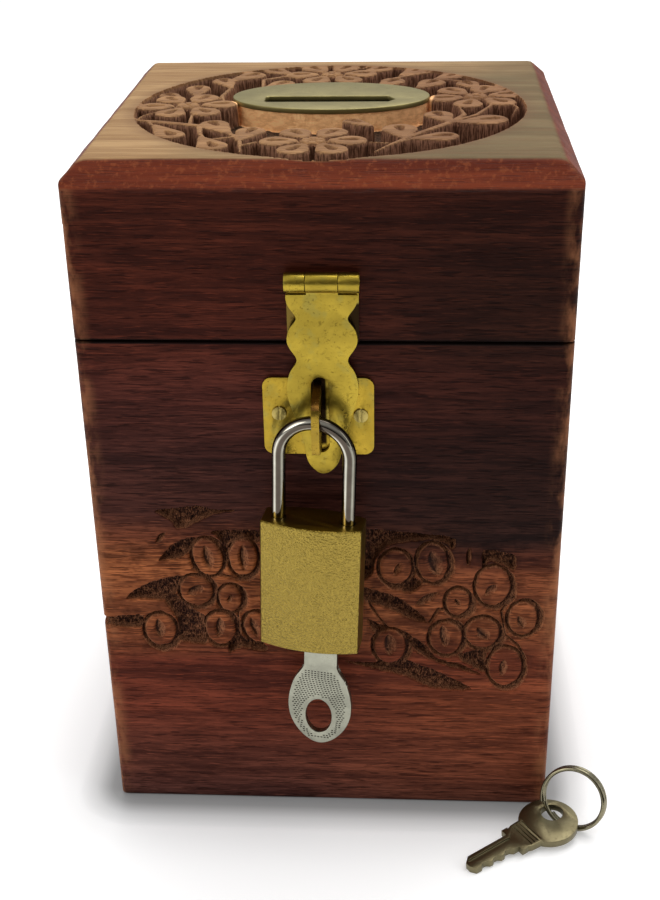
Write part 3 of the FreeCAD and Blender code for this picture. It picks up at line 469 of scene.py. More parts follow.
        # the oval island's turned side: lighter bare wood plus a painted highlight, its colour pushed above full
        # reflectance
        ix = g.math("DIVIDE", g.math("ADD", g.x, 0.6), 22.3)
        iy = g.math("DIVIDE", g.math("SUBTRACT", g.y, 7.0), 13.6)
        ir = g.math("SQRT", g.math("ADD", g.math("MULTIPLY", ix, ix), g.math("MULTIPLY", iy, iy)))
        isl = g.span(ir, 1.06, 1.03)
        iside = g.mix(g.span(g.noise(g.scale(0.5, 0.5, 1.2), 1.0, 4, 0.6), 0.35, 0.65), lin(186, 140, 98, 2.1), lin(212, 168, 122, 2.1))
        carved = g.mix(isl, carved, iside)
        carved = g.mix(1.0, carved, g.mix(g.span(g.x, -10.0, 30.0), (0.80, 0.78, 0.72, 1), (0.68, 0.62, 0.58, 1)), "MULTIPLY")
        col = g.mix(inside, col, carved)
        # painted shade: the walls of the coin slot are painted dark
        sx = g.span(g.math("ABSOLUTE", g.math("ADD", g.x, 0.65)), 15.9, 15.4)
        sy = g.span(g.math("ABSOLUTE", g.math("SUBTRACT", g.y, 3.6)), 3.2, 2.9)
        slot_painted_shade = g.math("MULTIPLY", g.math("MULTIPLY", sx, sy), g.span(g.nz, 0.9, 0.5))
        col = g.mix(slot_painted_shade, col, lin(40, 38, 24))
        under = g.span(g.nz, -0.6, -0.9)
        col = g.mix(under, col, lin(160, 118, 82))
        rough = g.math("ADD", rough, g.math("MULTIPLY", inside, g.math("MULTIPLY", deep, 0.3)))
        rough = g.math("ADD", rough, g.math("MULTIPLY", nzs, 0.06))
        hgt = g.math("ADD", hgt, g.math("MULTIPLY", g.math("MULTIPLY", inside, g.span(dz, 0.4, 1.5)), g.math("MULTIPLY", g.math("ADD", stri, fuzz), 1.6)))
    n = g.bump(hgt, 0.55, 0.00022)
    return g.done(col, rough, 0.0, n, 0.05, 0.0)


WOOD = wood("waxed_wood")
WOOD_TOP = wood("waxed_wood_lid_top", True)


# ------------------------------------------------------------------ metals
def metal(name, rgb, dark, rough=0.28, speck=0.5, speck_scale=1.4, scratches=0.3, bump=0.15, orange=0.0, tint=None, metallic=1.0, cloud_amt=1.0,
          wire=False, leaf=False, under=False, loop=False):
    g = Nodes(name)
    cloud = g.noise(g.scale(0.18, 0.18, 0.18), 1.0, 4, 0.6)
    spots = g.noise(g.scale(speck_scale, speck_scale, speck_scale), 1.0, 5, 0.7)
    sp = g.span(spots, 0.56, 0.70)
    scr = g.noise(g.scale(0.35, 0.35, 5.5), 1.0, 3, 0.6)
    sc = g.span(scr, 0.66, 0.74)
    col = g.mix(g.span(cloud, 0.35, 0.65), lin(*rgb, 1.0), lin(*[c * (1 - 0.1 * cloud_amt) for c in rgb], 1.0))
    if tint:
        col = g.mix(g.span(g.noise(g.scale(0.3, 0.3, 0.3, off=(5, 2, 1)), 1.0, 3, 0.5), 0.52, 0.68, 0.0, 0.5), col, lin(*tint, 1.0))
    col = g.mix(g.math("MULTIPLY", sp, speck), col, lin(*dark, 1.0))
    col = g.mix(g.math("MULTIPLY", sc, scratches), col, lin(*dark, 1.0))
    r = g.math("ADD", rough, g.math("MULTIPLY", g.math("SUBTRACT", cloud, 0.5), 0.16 * cloud_amt))
    r = g.math("ADD", r, g.math("MULTIPLY", sp, 0.12), clamp=True)
    h = g.math("ADD", g.math("MULTIPLY", sp, -0.6), g.math("MULTIPLY", sc, -0.5))
    if wire:
        # painted reflection: a dark line down the middle, bright flanks and dark outer sides, set by the face direction
        painted_reflection_bands = g.ramp(g.math("MULTIPLY", g.math("ADD", g.ny, 1.0), 0.5), [(0.0, (0.12, 0.10, 0.09, 1)), (0.02, (0.14, 0.12, 0.10, 1)), (0.045, (0.6, 0.59, 0.55, 1)),
                      (0.075, (0.95, 0.95, 0.9, 1)), (0.12, (0.40, 0.38, 0.34, 1)), (0.2, (0.15, 0.13, 0.12, 1)), (0.32, (0.10, 0.09, 0.08, 1)), (1.0, (0.08, 0.075, 0.07, 1))])
        col = g.mix(1.0, col, painted_reflection_bands, "MULTIPLY")
        # painted shade: faces turned to the right are darkened
        col = g.mix(g.span(g.nx, 0.15, 0.5), col, g.mix(1.0, col, (0.5, 0.5, 0.48, 1), "MULTIPLY"))
    if under:
        # the shaded part of the plate seen through the hasp's slot
        sx = g.span(g.math("ABSOLUTE", g.math("ADD", g.x, 1.3)), 2.3, 1.7)
        sz = g.span(g.math("ABSOLUTE", g.math("SUBTRACT", g.z, 104.0)), 8.6, 7.6)
        col = g.mix(g.math("MULTIPLY", sx, sz), col, lin(26, 17, 8))
    if loop:
        # painted shade: the staple's right side and upper bend are painted dark coppery brown
        side = g.math("MAXIMUM", g.span(g.nx, 0.25, 0.7), g.span(g.nz, 0.35, 0.8))
        col = g.mix(g.math("MULTIPLY", side, 0.85), col, lin(78, 46, 22))
    if leaf:
        # painted shade: the part of the leaf that lies in the hasp's shade is painted dark, dull brass on the left and
        # near-black brown on the right
        shade = g.span(g.z, 127.6, 126.9)
        leaf_painted_shade = g.mix(g.span(g.x, -3.0, 3.0), lin(104, 86, 40), lin(34, 24, 12))
        col = g.mix(shade, col, leaf_painted_shade)
    if orange:
        peel = g.noise(g.scale(2.5, 2.5, 2.5), 1.0, 1.2, 0.4)
        face = g.span(g.math("ABSOLUTE", g.ny), 0.5, 0.8)
        h = g.math("ADD", g.math("MULTIPLY", h, g.math("MULTIPLY", face, 0.5)), g.math("MULTIPLY", g.math("MULTIPLY", peel, face), orange))
        # painted highlight: faces turned upward are painted a lighter yellow brass
        col = g.mix(g.span(g.nz, 0.6, 0.9), col, lin(160, 132, 52))
        col = g.mix(g.math("MULTIPLY", g.span(peel, 0.42, 0.60), g.math("MULTIPLY", face, 0.3)), col, lin(*[min(255, c * 1.14) for c in rgb], 1.0))
    n = g.bump(h, bump, 0.0003)
    return g.done(col, r, metallic, n, 0.5)


BRASS = metal("pressed_brass", (170, 146, 54), (64, 48, 18), 0.29, 0.42, 1.3, 0.3, 0.2, tint=(142, 132, 66))
BRASS_UNDER = metal("plate_brass", (170, 142, 50), (64, 48, 18), 0.29, 0.42, 1.3, 0.3, 0.2, tint=(142, 132, 66), under=True)
BRASS_LOOP = metal("staple_brass", (160, 132, 50), (64, 48, 18), 0.27, 0.42, 1.3, 0.3, 0.2, tint=(142, 122, 56), loop=True)
BRASS_LEAF = metal("leaf_brass", (170, 146, 54), (64, 48, 18), 0.29, 0.42, 1.3, 0.3, 0.2, tint=(142, 132, 66), leaf=True)
BRASS_SCREW = metal("screw_brass", (176, 158, 92), (60, 46, 24), 0.35, 0.5, 2.2, 0.2, 0.2)
BRASS_PALE = metal("dull_brass_sheet", (136, 125, 76), (108, 98, 62), 0.42, 0.22, 0.9, 0.2, 0.12, metallic=0.7)
LOCK_BRASS = metal("cast_brass", (150, 129, 60), (126, 104, 42), 0.31, 0.1, 2.6, 0.0, 0.8, orange=1.5, cloud_amt=0.1)
LOCK_PLAIN = metal("turned_brass", (190, 164, 88), (90, 70, 30), 0.3, 0.2, 1.6, 0.2, 0.15)
CHROME = metal("polished_steel", (225, 222, 212), (120, 116, 108), 0.10, 0.12, 1.2, 0.15, 0.05, wire=True)
SPRING = metal("spring_steel", (150, 150, 150), (70, 70, 70), 0.3, 0.3, 2.0, 0.2, 0.1)
NICKEL = metal("nickel_plate", (160, 160, 144), (110, 108, 96), 0.30, 0.25, 1.6, 0.15, 0.12)
NICKEL_DARK = metal("aged_nickel", (124, 116, 88), (60, 48, 36), 0.36, 0.35, 1.4, 0.25, 0.15)
KEY_MARK = metal("nickel_marks", (64, 62, 54), (40, 38, 32), 0.5, 0.2, 1.6, 0.1, 0.1)
RING_STEEL = metal("nickel_wire", (134, 128, 104), (60, 54, 40), 0.14, 0.3, 1.6, 0.1, 0.08)


# ------------------------------------------------------------------ carved upright boards
def px(i, j):
    return (-50.8 + i / 14.0, 88.0 - j / 14.0)


CUTS = [rounded([px(*p) for p in poly]) for poly in [
    [(186, 124), (250, 116), (330, 105), (368, 120), (462, 122), (380, 134), (330, 162), (258, 200), (238, 160), (205, 142)],
    [(186, 304), (240, 240), (300, 214), (322, 222), (306, 262), (262, 296), (214, 306)],
    [(70, 447), (120, 402), (170, 376), (266, 350), (258, 392), (236, 430), (196, 452), (130, 446)],
    [(196, 446), (240, 420), (256, 450), (300, 486), (328, 500), (318, 560), (332, 618), (250, 606), (228, 590), (238, 530), (214, 480)],
    [(-20, 512), (60, 508), (134, 500), (130, 528), (136, 552), (50, 556), (-20, 540)],
    [(352, 196), (420, 188), (520, 190), (520, 236), (470, 240), (440, 232), (412, 250), (404, 330), (392, 300), (384, 220)],
    [(790, 172), (860, 182), (1010, 194), (1112, 206), (1096, 256), (1078, 232), (1030, 214), (976, 224), (900, 236), (862, 284), (852, 350), (800, 372)],
    [(790, 378), (870, 400), (950, 432), (1030, 516), (980, 512), (900, 470), (800, 430)],
    [(830, 500), (862, 520), (940, 548), (1010, 590), (1050, 650), (1130, 668), (1212, 716), (1150, 700), (1060, 672), (1000, 640), (940, 575), (850, 560)],
    [(740, 664), (850, 672), (930, 656), (964, 660), (1060, 700), (1180, 768), (1130, 776), (1040, 770), (960, 724), (870, 700)],
    [(1182, 248), (1232, 250), (1292, 268), (1288, 330), (1262, 310), (1238, 300), (1204, 286), (1182, 350), (1164, 372), (1186, 316)],
    [(1108, 640), (1160, 616), (1216, 624), (1206, 656), (1218, 712), (1160, 680)],
    [(934, 400), (984, 350), (1004, 366), (1000, 390), (962, 412)],
    [(384, 600), (424, 540), (446, 590), (520, 610), (520, 640), (430, 622), (396, 650)],
]]
# discs: centre, half width, half height, turn, slit (dx, dy, half length, half width, turn)
BUDS = [
    (345, 290, 50, 70, 10, (2, 0, 44, 15, 100)), (455, 290, 48, 70, -3, (2, 0, 46, 13, 92)), (303, 412, 56, 60, 0, (-2, 0, 30, 15, 28)),
    (408, 440, 40, 54, 0, (0, 0, 15, 7, 60)), (180, 562, 54, 66, 0, (-2, -8, 36, 14, 95)), (372, 552, 52, 66, 0, (-2, -6, 38, 13, 85)),
    (486, 545, 44, 60, 8, (-6, 0, 40, 12, 105)), (922, 318, 54, 66, 0, (6, 6, 24, 8, 70)), (1035, 300, 52, 74, 4, (8, 0, 48, 20, 104)),
    (1222, 380, 58, 76, 0, (-6, 14, 26, 11, 50)), (1115, 440, 42, 54, 0, (0, 0, 15, 7, 120)), (1318, 497, 50, 66, 0, (-4, 12, 24, 12, 110)),
    (1082, 575, 56, 66, 0, (-6, -8, 42, 14, 98)), (1195, 553, 58, 62, 0, (2, 0, 30, 16, 130)), (906, 610, 56, 68, 0, (0, -8, 42, 18, 92)),
    (1270, 680, 58, 78, 0, (-6, 4, 32, 12, 84))]
SLITS = [(1020, 430, 48, 16, 35), (1145, 275, 34, 10, 88), (205, 222, 26, 12, 50), (1000, 500, 30, 6, -40)]
LINES = [[(506, 300), (480, 350), (440, 370), (384, 350), (300, 330), (290, 280)], [(250, 470), (300, 480), (350, 460), (372, 430)],
         [(830, 430), (870, 500), (900, 540), (960, 560), (970, 600)], [(1290, 420), (1250, 470), (1266, 560), (1310, 600), (1334, 650), (1300, 752)],
         [(960, 400), (985, 372), (1050, 372)], [(1030, 516), (1056, 466), (1090, 470)], [(1130, 640), (1128, 560), (1106, 520)],
         [(446, 400), (430, 500), (425, 600)]]


def carving(X, Z):
    """Depth of the carving below a board's face, at points X across and Z up."""
    d = np.zeros(X.shape)
    rag = 0.28 * fbm(X * 1.3, Z * 1.3, 3)
    chis = fbm(X * 0.9 + 0.35 * Z, Z * 1.1, 4)
    for poly in CUTS:
        s = sd_poly(X, Z, poly) + rag
        floor = 1.75 + 0.55 * chis + 0.25 * np.clip(-s, 0, 2)
        d = np.maximum(d, np.clip(floor, 0.6, 2.6) * smooth(-s / 0.5))
    for line in LINES:
        pts = [px(*p) for p in line]
        for a, b in zip(pts[:-1], pts[1:]):
            s = sd_drop(X, Z, a, b, 0.28, 0.3) + 0.5 * rag
            d = np.maximum(d, 0.85 * smooth(0.5 - s / 0.5))
    for cx, cz, rx, rz, turn, slit in BUDS:
        x0, z0 = px(cx, cz)
        rx, rz = rx / 14.0, rz / 14.0
        t = math.radians(turn)
        u = (X - x0) * math.cos(t) + (Z - z0) * math.sin(t)
        v = -(X - x0) * math.sin(t) + (Z - z0) * math.cos(t)
        e = np.sqrt((u / rx) ** 2 + (v / rz) ** 2) + 1e-9
        s = (e - 1) * (np.hypot(u, v) / e) + 0.4 * rag
        dome = 0.10 + 0.42 * np.clip(1 + s / 1.4, 0, 1) ** 2
        inside = smooth(0.5 - s / 0.25)
        d = d * (1 - inside) + dome * inside
        ang = np.arctan2(v / rz, u / rx)
        cres = np.clip(np.cos(ang - math.radians((cx * 37) % 90 - 60)), 0, 1) ** 2
        gw = np.clip(0.36 + 0.40 * cres + 0.16 * fbm(X * 0.8 + cx, Z * 0.8, 2), 0.18, 1.0)
        d = np.maximum(d, 1.45 * np.exp(-((s - 0.25 * cres) / gw) ** 2))
        dx, dz, hl, hw, tt = slit
        lens = vesica(X, Z, x0 + dx / 14.0, z0 - dz / 14.0, hl / 13.0, hw / 9.5, tt)
        d = d + 0.85 * lens
    for cx, cz, hl, hw, tt in SLITS:
        x0, z0 = px(cx, cz)
        d = np.maximum(d, 1.2 * vesica(X, Z, x0, z0, hl / 14.0, hw / 14.0, tt))
    return d


def vesica(X, Z, x0, z0, hl, hw, turn):
    """Leaf-shaped V cut: 1 on its ridge, 0 outside."""
    t = math.radians(turn)
    u = (X - x0) * math.cos(t) + (Z - z0) * math.sin(t)
    v = -(X - x0) * math.sin(t) + (Z - z0) * math.cos(t)
    w = hw * np.clip(1 - (u / hl) ** 2, 0, 1) + 1e-6
    q = v / w
    lean = np.where(q > 0.45, (1 - q) / 0.55, (1 + q) / 1.45)
    return np.clip(lean, 0, 1) * (np.abs(u) < hl) * np.clip(w / hw * 1.6, 0, 1)


def edge_round(d, r):
    """How far a rounded edge falls back at distance d from the corner."""
    q = np.clip(r - d, 0, r)
    return r - np.sqrt(np.clip(r * r - q * q, 0, None))


def board(name, node, body, kind, z0, z1, fine=None, lower=0.0, upper=0.25, mats=None):
    """kind: front, back, left, right. The face is 101.6 wide at front and back, and 85.6 between them at the sides."""
    half = 50.8 if kind in ("front", "back") else 42.8
    step = 0.25 if kind == "front" else 0.4
    edge = [(-half, -half + 1.6, 0.16), (half - 1.6, half, 0.16)] if half > 50 else []
    carved = fine is not None
    U = stations(-half, half, edge + [(-half, half, step if carved else 2.2)])
    parts = [(z0, z1, 2.2), (z0, z0 + max(lower, 0.4), 0.25), (z1 - 0.4, z1, 0.1)]
    if carved:
        parts.append((fine[0], fine[1], step))
    V = stations(z0, z1, parts)

    def depth(A, Z):
        d = carving(A, Z) if carved else np.zeros(A.shape)
        d = d + 0.05 + 0.05 * fbm(A * 0.05 + 3, Z * 0.08, 2)          # planed by hand, never quite flat
        worn = 0.25 * np.clip(fbm(A * 0.3, Z * 0.15 + (7 if kind == "front" else 2), 3), 0, 1)
        d = d + edge_round(Z - z0 - 0.0, lower + 0.001) if lower > 0 else d + 0 * Z
        d = d + edge_round(z1 - Z, upper + 0.001)
        if lower == 0:
            d = d + edge_round(Z - z0, 0.25)
        if half > 50:
            d = d + edge_round(half - np.abs(A), 1.4 + 0 * worn) + worn * np.clip(1 - (half - np.abs(A)) / 2.2, 0, 1)
        return np.clip(d, 0, 7.0)

    def place(A, Z, D):
        if kind == "front":
            return np.stack([A, -HY + D, Z], -1)
        if kind == "back":
            return np.stack([-A, HY - D, Z], -1)
        if kind == "left":
            return np.stack([-HX + D, -A, Z], -1)
        return np.stack([HX - D, A, Z], -1)

    o = grid_solid(name, U, V, lambda A, Z: place(A, Z, depth(A, Z)), lambda A, Z: place(A, Z, 0 * A + 8.0), mats or [WOOD])
    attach(o, body)
    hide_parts(node)
    return o


board("wall_front", "body_front_panel", "box", "front", 0.0, 118.3, (30, 83), 0.8)
board("wall_left", "body_left_panel", "box", "left", 0.0, 118.3, (30, 83), 0.8)
board("wall_right", "body_right_panel", "box", "right", 0.0, 118.3, (30, 83), 0.8)
board("wall_back", "body_back_panel", "box", "back", 0.0, 118.3, None, 0.8)
board("lid_wall_front", "lid_front_rail", "lid", "front", 118.7, 143.0, None, 0.0, 0.001)
board("lid_wall_back", "lid_back_rail", "lid", "back", 118.7, 143.0, None, 0.0, 0.001)
board("lid_wall_left", "lid_left_rail", "lid", "left", 118.7, 143.0, None, 0.0, 0.001)
board("lid_wall_right", "lid_right_rail", "lid", "right", 118.7, 143.0, None, 0.0, 0.001)


# ------------------------------------------------------------------ carved lid top
def tp(i, j):
    return (-50.8 + i / 10.0, 50.8 - j / 10.0)


FLOWERS = [(485, 820, 2), (185, 510, 8), (830, 430, 14), (490, 190, 5)]
# drops: head, tail, head radius, tail radius (tenths of a millimetre)
DROPS = [((185, 340), (192, 415), 31, 9), ((266, 682), (306, 756), 34, 9), ((350, 742), (332, 812), 34, 9), ((184, 766), (140, 690), 34, 9),
         ((284, 856), (252, 790), 34, 9), ((742, 604), (764, 668), 34, 9), ((660, 726), (672, 800), 40, 10), ((852, 648), (786, 668), 40, 10),
         ((750, 786), (690, 802), 34, 9), ((380, 292), (338, 356), 32, 9), ((300, 200), (250, 262), 34, 9), ((236, 262), (262, 330), 30, 8),
         ((640, 270), (612, 330), 32, 9), ((732, 286), (700, 340), 34, 9), ((700, 150), (660, 204), 34, 9), ((786, 210), (742, 250), 34, 9),
         ((350, 150), (400, 196), 30, 8), ((610, 130), (560, 176), 30, 8), ((128, 410), (160, 446), 26, 8), ((905, 330), (870, 384), 30, 9),
         ((815, 300), (836, 352), 30, 9), ((560, 660), (600, 700), 24, 7)]
STEMS = [[(84, 640, 8), (150, 662, 22), (236, 694, 20), (310, 762, 16), (334, 812, 14), (346, 905, 8)],
         [(236, 694, 18), (246, 760, 14), (266, 812, 12), (330, 782, 10)], [(120, 655, 14), (140, 700, 10), (170, 760, 8)],
         [(612, 902, 6), (650, 838, 14), (700, 760, 18), (770, 664, 20), (798, 600, 16), (786, 512, 5)],
         [(770, 664, 16), (824, 604, 14), (858, 520, 12), (866, 470, 10)], [(650, 838, 8), (690, 802, 10)],
         [(206, 600, 10), (214, 690, 14)], [(192, 415, 9), (190, 450, 9)], [(250, 262, 9), (262, 330, 12), (250, 420, 14), (262, 470, 8)],
         [(338, 356, 10), (330, 250, 14), (400, 196, 10), (440, 170, 8)], [(612, 330, 8), (640, 240, 14), (700, 190, 14), (780, 150, 8)],
         [(700, 340, 10), (742, 250, 14), (800, 270, 12), (836, 352, 10)], [(130, 560, 8), (100, 600, 8), (92, 640, 8)],
         [(900, 480, 10), (916, 540, 10), (900, 600, 6)], [(370, 830, 10), (346, 850, 10)], [(600, 830, 8), (640, 840, 8)],
         [(540, 130, 8), (600, 110, 8), (660, 130, 6)]]


def lid_surface(X, Y):
    edge_n = 0.18 * fbm(X * 0.12, Y * 0.12, 3)
    top = 154.88 + 0.08 * fbm(X * 0.05, Y * 0.05, 2)
    a = H - (np.abs(Y) - (HY - 5.5)) + edge_n
    b = H - (np.abs(X) - (HX - 3.8)) + edge_n
    k = 0.8

    def smin(p, q):
        hh = np.clip(0.5 + 0.5 * (q - p) / k, 0, 1)
        return q * (1 - hh) + p * hh - k * hh * (1 - hh)

    h = np.minimum(smin(smin(top, a), b), 154.98)
    rag = 0.16 * fbm(X * 2.0, Y * 2.0, 2)
    m = np.hypot(X + 0.3, Y + 3.0) - 42.6 + rag
    R = np.full(X.shape, 50.0)
    slit = np.zeros(X.shape)
    groove = np.zeros(X.shape)
    for fx, fy, off in FLOWERS:
        cx, cy = tp(fx, fy)
        near = np.hypot(X - cx, Y - cy) < 14
        xs, ys = X[near], Y[near]
        loc = np.full(xs.shape, 50.0)
        sl = np.zeros(xs.shape)
        for q in range(6):
            t = math.radians(off + 60 * q)
            c, s = math.cos(t), math.sin(t)
            loc = np.minimum(loc, sd_drop(xs, ys, (cx + 4.2 * c, cy + 4.2 * s), (cx + 7.7 * c, cy + 7.7 * s), 1.5, 3.55))
            v = sd_drop(xs, ys, (cx + 5.6 * c, cy + 5.6 * s), (cx + 8.4 * c, cy + 8.4 * s), 0.3, 0.75)
            sl = np.maximum(sl, smooth(0.5 - v / 0.7))
        rad = np.hypot(xs - cx, ys - cy)
        ang = np.arctan2(ys - cy, xs - cx)
        loc = np.minimum(loc, rad - 3.3)
        gv = np.exp(-((rad - 2.75) / 0.28) ** 2) + 0.5 * np.exp(-(rad / 0.6) ** 2) + 0.45 * (rad < 2.4) * np.clip(np.cos(ang * 6), 0, 1) ** 4
        R[near] = np.minimum(R[near], loc)
        slit[near] = np.maximum(slit[near], sl)
        groove[near] = np.maximum(groove[near], gv)
    for hd, tl, r0, r1 in DROPS:
        a0, b0 = tp(*hd), tp(*tl)
        R = np.minimum(R, sd_drop(X, Y, a0, b0, r0 / 10.0, r1 / 10.0))
        ex, ey = b0[0] - a0[0], b0[1] - a0[1]
        L = math.hypot(ex, ey)
        ux, uy = ex / L, ey / L
        v = sd_drop(X, Y, (a0[0] - ux * 0.9, a0[1] - uy * 0.9), (a0[0] + ux * 1.9, a0[1] + uy * 1.9), 0.95, 0.3)
        slit = np.maximum(slit, smooth(0.5 - v / 0.6))
    for st in STEMS:
        pts = [(tp(i, j), w / 20.0) for i, j, w in st]
        for (p, r0), (q, r1) in zip(pts[:-1], pts[1:]):
            R = np.minimum(R, sd_drop(X, Y, p, q, r0, r1))
    R = R + 0.7 * rag
    floor = 149.75 + 0.35 * fbm(X * 0.8, Y * 0.8, 3)
    crown = 154.75 - 0.45 * np.clip(1 + R / 1.2, 0, 1) ** 2
    crown = crown - 1.1 * slit - 0.8 * np.clip(groove, 0, 1)
    f = floor + (crown - floor) * smooth(0.5 - R / 0.42)
    ie = np.sqrt(((X + 0.6) / 22.3) ** 2 + ((Y - 7.0) / 13.6) ** 2)
    isd = (ie - 1) * np.hypot(X + 0.6, Y - 7.0) / np.maximum(ie, 1e-6)
    wi = smooth(0.5 - (isd + 0.05) / 0.34)
    f = f * (1 - wi) + 153.88 * wi
    f = np.where(isd < -0.4, 153.88, np.minimum(f, 154.9))
    h = h * (1 - smooth(0.5 - m / 0.5)) + f * smooth(0.5 - m / 0.5)
    return h


SLOT = [(-15.3, 1.5), (-14.7, 0.9), (12.4, 0.9), (14.0, 3.2), (12.4, 6.3), (-14.7, 6.3), (-15.3, 5.7)]


def lid_point(A, B):
    d = HY - np.abs(B)
    xm = HX - edge_round(d, 1.4)
    X = A * xm / HX
    return X, B


def lid_outer(A, B):
    X, Y = lid_point(A, B)
    return np.stack([X, Y, lid_surface(X, Y)], -1)


def lid_inner(A, B):
    X, Y = lid_point(A, B)
    return np.stack([X, Y, 0 * X + 143.0], -1)


st = 0.26
UL = stations(-HX, HX, [(-HX, -HX + 1.5, 0.18), (HX - 1.5, HX, 0.18), (-HX, HX, 0.9), (-44.0, 43.5, st)])
VL = stations(-HY, HY, [(-HY, -HY + 1.5, 0.18), (HY - 1.5, HY, 0.18), (-HY, HY, 0.9), (-46.5, 40.5, st)])
lid_top = grid_solid("lid_top_carved", UL, VL, lid_outer, lid_inner, [WOOD_TOP], hole=lambda u, v: sd_poly(u, v, SLOT) < 0.25)
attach(lid_top, "lid")
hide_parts("lid_top_panel")


# ------------------------------------------------------------------ metal pieces: softened copies of the exact shapes
def soften(node, body, mat, width, segments=2, angle=32, name=None):
    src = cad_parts[node]
    me = src.data.copy()
    me.name = (name or node) + "_mesh"
    o = bpy.data.objects.new(name or node + "_finished", me)
    bpy.context.scene.collection.objects.link(o)
    o.matrix_world = src.matrix_world.copy()
    bm = bmesh.new()
    bm.from_mesh(me)
    bmesh.ops.remove_doubles(bm, verts=bm.verts, dist=2e-6)
    bmesh.ops.dissolve_limit(bm, angle_limit=math.radians(1.2), verts=bm.verts, edges=bm.edges, delimit={"NORMAL"})
    bm.to_mesh(me)
    bm.free()
    md = o.modifiers.new("edge", "BEVEL")
    md.width = width * MM
    md.segments = segments
    md.limit_method = "ANGLE"
    md.angle_limit = math.radians(angle)
    md.use_clamp_overlap = True
    md.harden_normals = False
    dg = bpy.context.evaluated_depsgraph_get()
    ev = o.evaluated_get(dg)
    baked = bpy.data.meshes.new_from_object(ev)
    o.modifiers.clear()
    o.data = baked
    baked.polygons.foreach_set("use_smooth", [True] * len(baked.polygons))
    baked.set_sharp_from_angle(angle=math.radians(40))
    baked.materials.clear()
    baked.materials.append(mat)
    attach(o, body)
    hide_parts(node)
    return o


soften("hasp_plate", "hasp", BRASS, 0.22, 3)
soften("hasp_fixed_leaf", "lid", BRASS_LEAF, 0.18)
soften("staple_plate", "box", BRASS_UNDER, 0.25, 3)
soften("staple", "box", BRASS_LOOP, 0.3, 3)
soften("staple_screws", "box", BRASS_SCREW, 0.1)
soften("slot_plate", "lid", BRASS_PALE, 0.22, 3)
soften("padlock_body", "padlock", LOCK_BRASS, 0.12, 2, 40)
soften("lock_key", "key", NICKEL, 0.14)
soften("spare_key", "spare_key", NICKEL_DARK, 0.14)

# ------------------------------------------------------------------ pressed marks on the hanging key's bow
RZ = Matrix.Rotation(math.radians(-8.0), 4, "Z") @ Matrix.Rotation(math.radians(2.0), 4, "Y")
LOCKM = Matrix.Translation(Vector((-1.3, -58.4, 104.0))) @ RZ
PX_, ZB = 2.2, -53.0
BOWW = [(-0.1, 3.65), (-6.0, 3.65), (-7.4, 4.2), (-9.3, 5.4), (-12.5, 6.55), (-16.3, 7.14), (-20.8, 6.55), (-24.0, 4.88), (-26.2, 2.7), (-27.2, 0.0)]


def bow_half(z):
    zz = [p[0] for p in BOWW][::-1]
    ww = [p[1] for p in BOWW][::-1]
    return float(np.interp(z, zz, ww))


vs, fs = [], []
row = 0
z = -7.6
while z > -25.6:
    w = bow_half(z) - 1.05
    x = -w + (0.36 if row % 2 else 0.0)
    while x < w - 0.2:
        e = math.hypot((x + 0.2) / 3.95, (z + 19.7) / 5.5)
        if e > 1.0:
            a, b, h = 0.24, 0.13, 0.07
            base = len(vs)
            for (qx, qz, qy) in ((-a, -b, 0.02), (a, -b, 0.02), (a, b, 0.02), (-a, b, 0.02), (-a * .7, -b * .6, -h), (a * .7, -b * .6, -h), (a * .7, b * .6, -h), (-a * .7, b * .6, -h)):
                p = LOCKM @ Vector((PX_ + x + qx, -0.8 + qy, ZB + z + qz))
                vs.append(p * MM)
            fs += [tuple(base + i for i in f) for f in ((0, 1, 5, 4), (1, 2, 6, 5), (2, 3, 7, 6), (3, 0, 4, 7), (4, 5, 6, 7), (3, 2, 1, 0))]
        x += 0.72
    z -= 0.56
    row += 1
marks = put_object("key_bow_marks", vs, fs, [KEY_MARK], 20)
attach(marks, "key")

# ------------------------------------------------------------------ the other exact nodes only get their finish
FINISH = {"hinge_left_body_leaf": BRASS, "hinge_right_body_leaf": BRASS, "hinge_left_lid_leaf": BRASS, "hinge_right_lid_leaf": BRASS,
          "hinge_left_pin": BRASS, "hinge_right_pin": BRASS, "hinge_body_screws": BRASS_SCREW, "hinge_lid_screws": BRASS_SCREW,
          "hasp_leaf_screws": BRASS_SCREW, "hasp_pin": BRASS, "shackle": CHROME, "shackle_retaining_pin": LOCK_PLAIN, "plug_retaining_pin": LOCK_PLAIN,
          "shackle_spring": SPRING, "latch_bolt": LOCK_PLAIN, "latch_spring": SPRING, "lock_plug": LOCK_PLAIN, "key_pins": LOCK_PLAIN,
          "driver_pins": LOCK_PLAIN, "pin_springs": SPRING, "pin_chamber_plugs": LOCK_BRASS, "key_ring": RING_STEEL, "bottom_panel": WOOD}
for node, m in FINISH.items():
    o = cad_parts[node]
    for s in o.material_slots:
        s.material = m

# ------------------------------------------------------------------ stage, light, camera
fl = bpy.data.meshes.new("floor")
fl.from_pydata([(-4, -3, 0), (4, -3, 0), (4, 6, 0), (-4, 6, 0)], [], [(0, 1, 2, 3)])
floor = bpy.data.objects.new("floor", fl)
bpy.context.scene.collection.objects.link(floor)
g = Nodes("white_table")
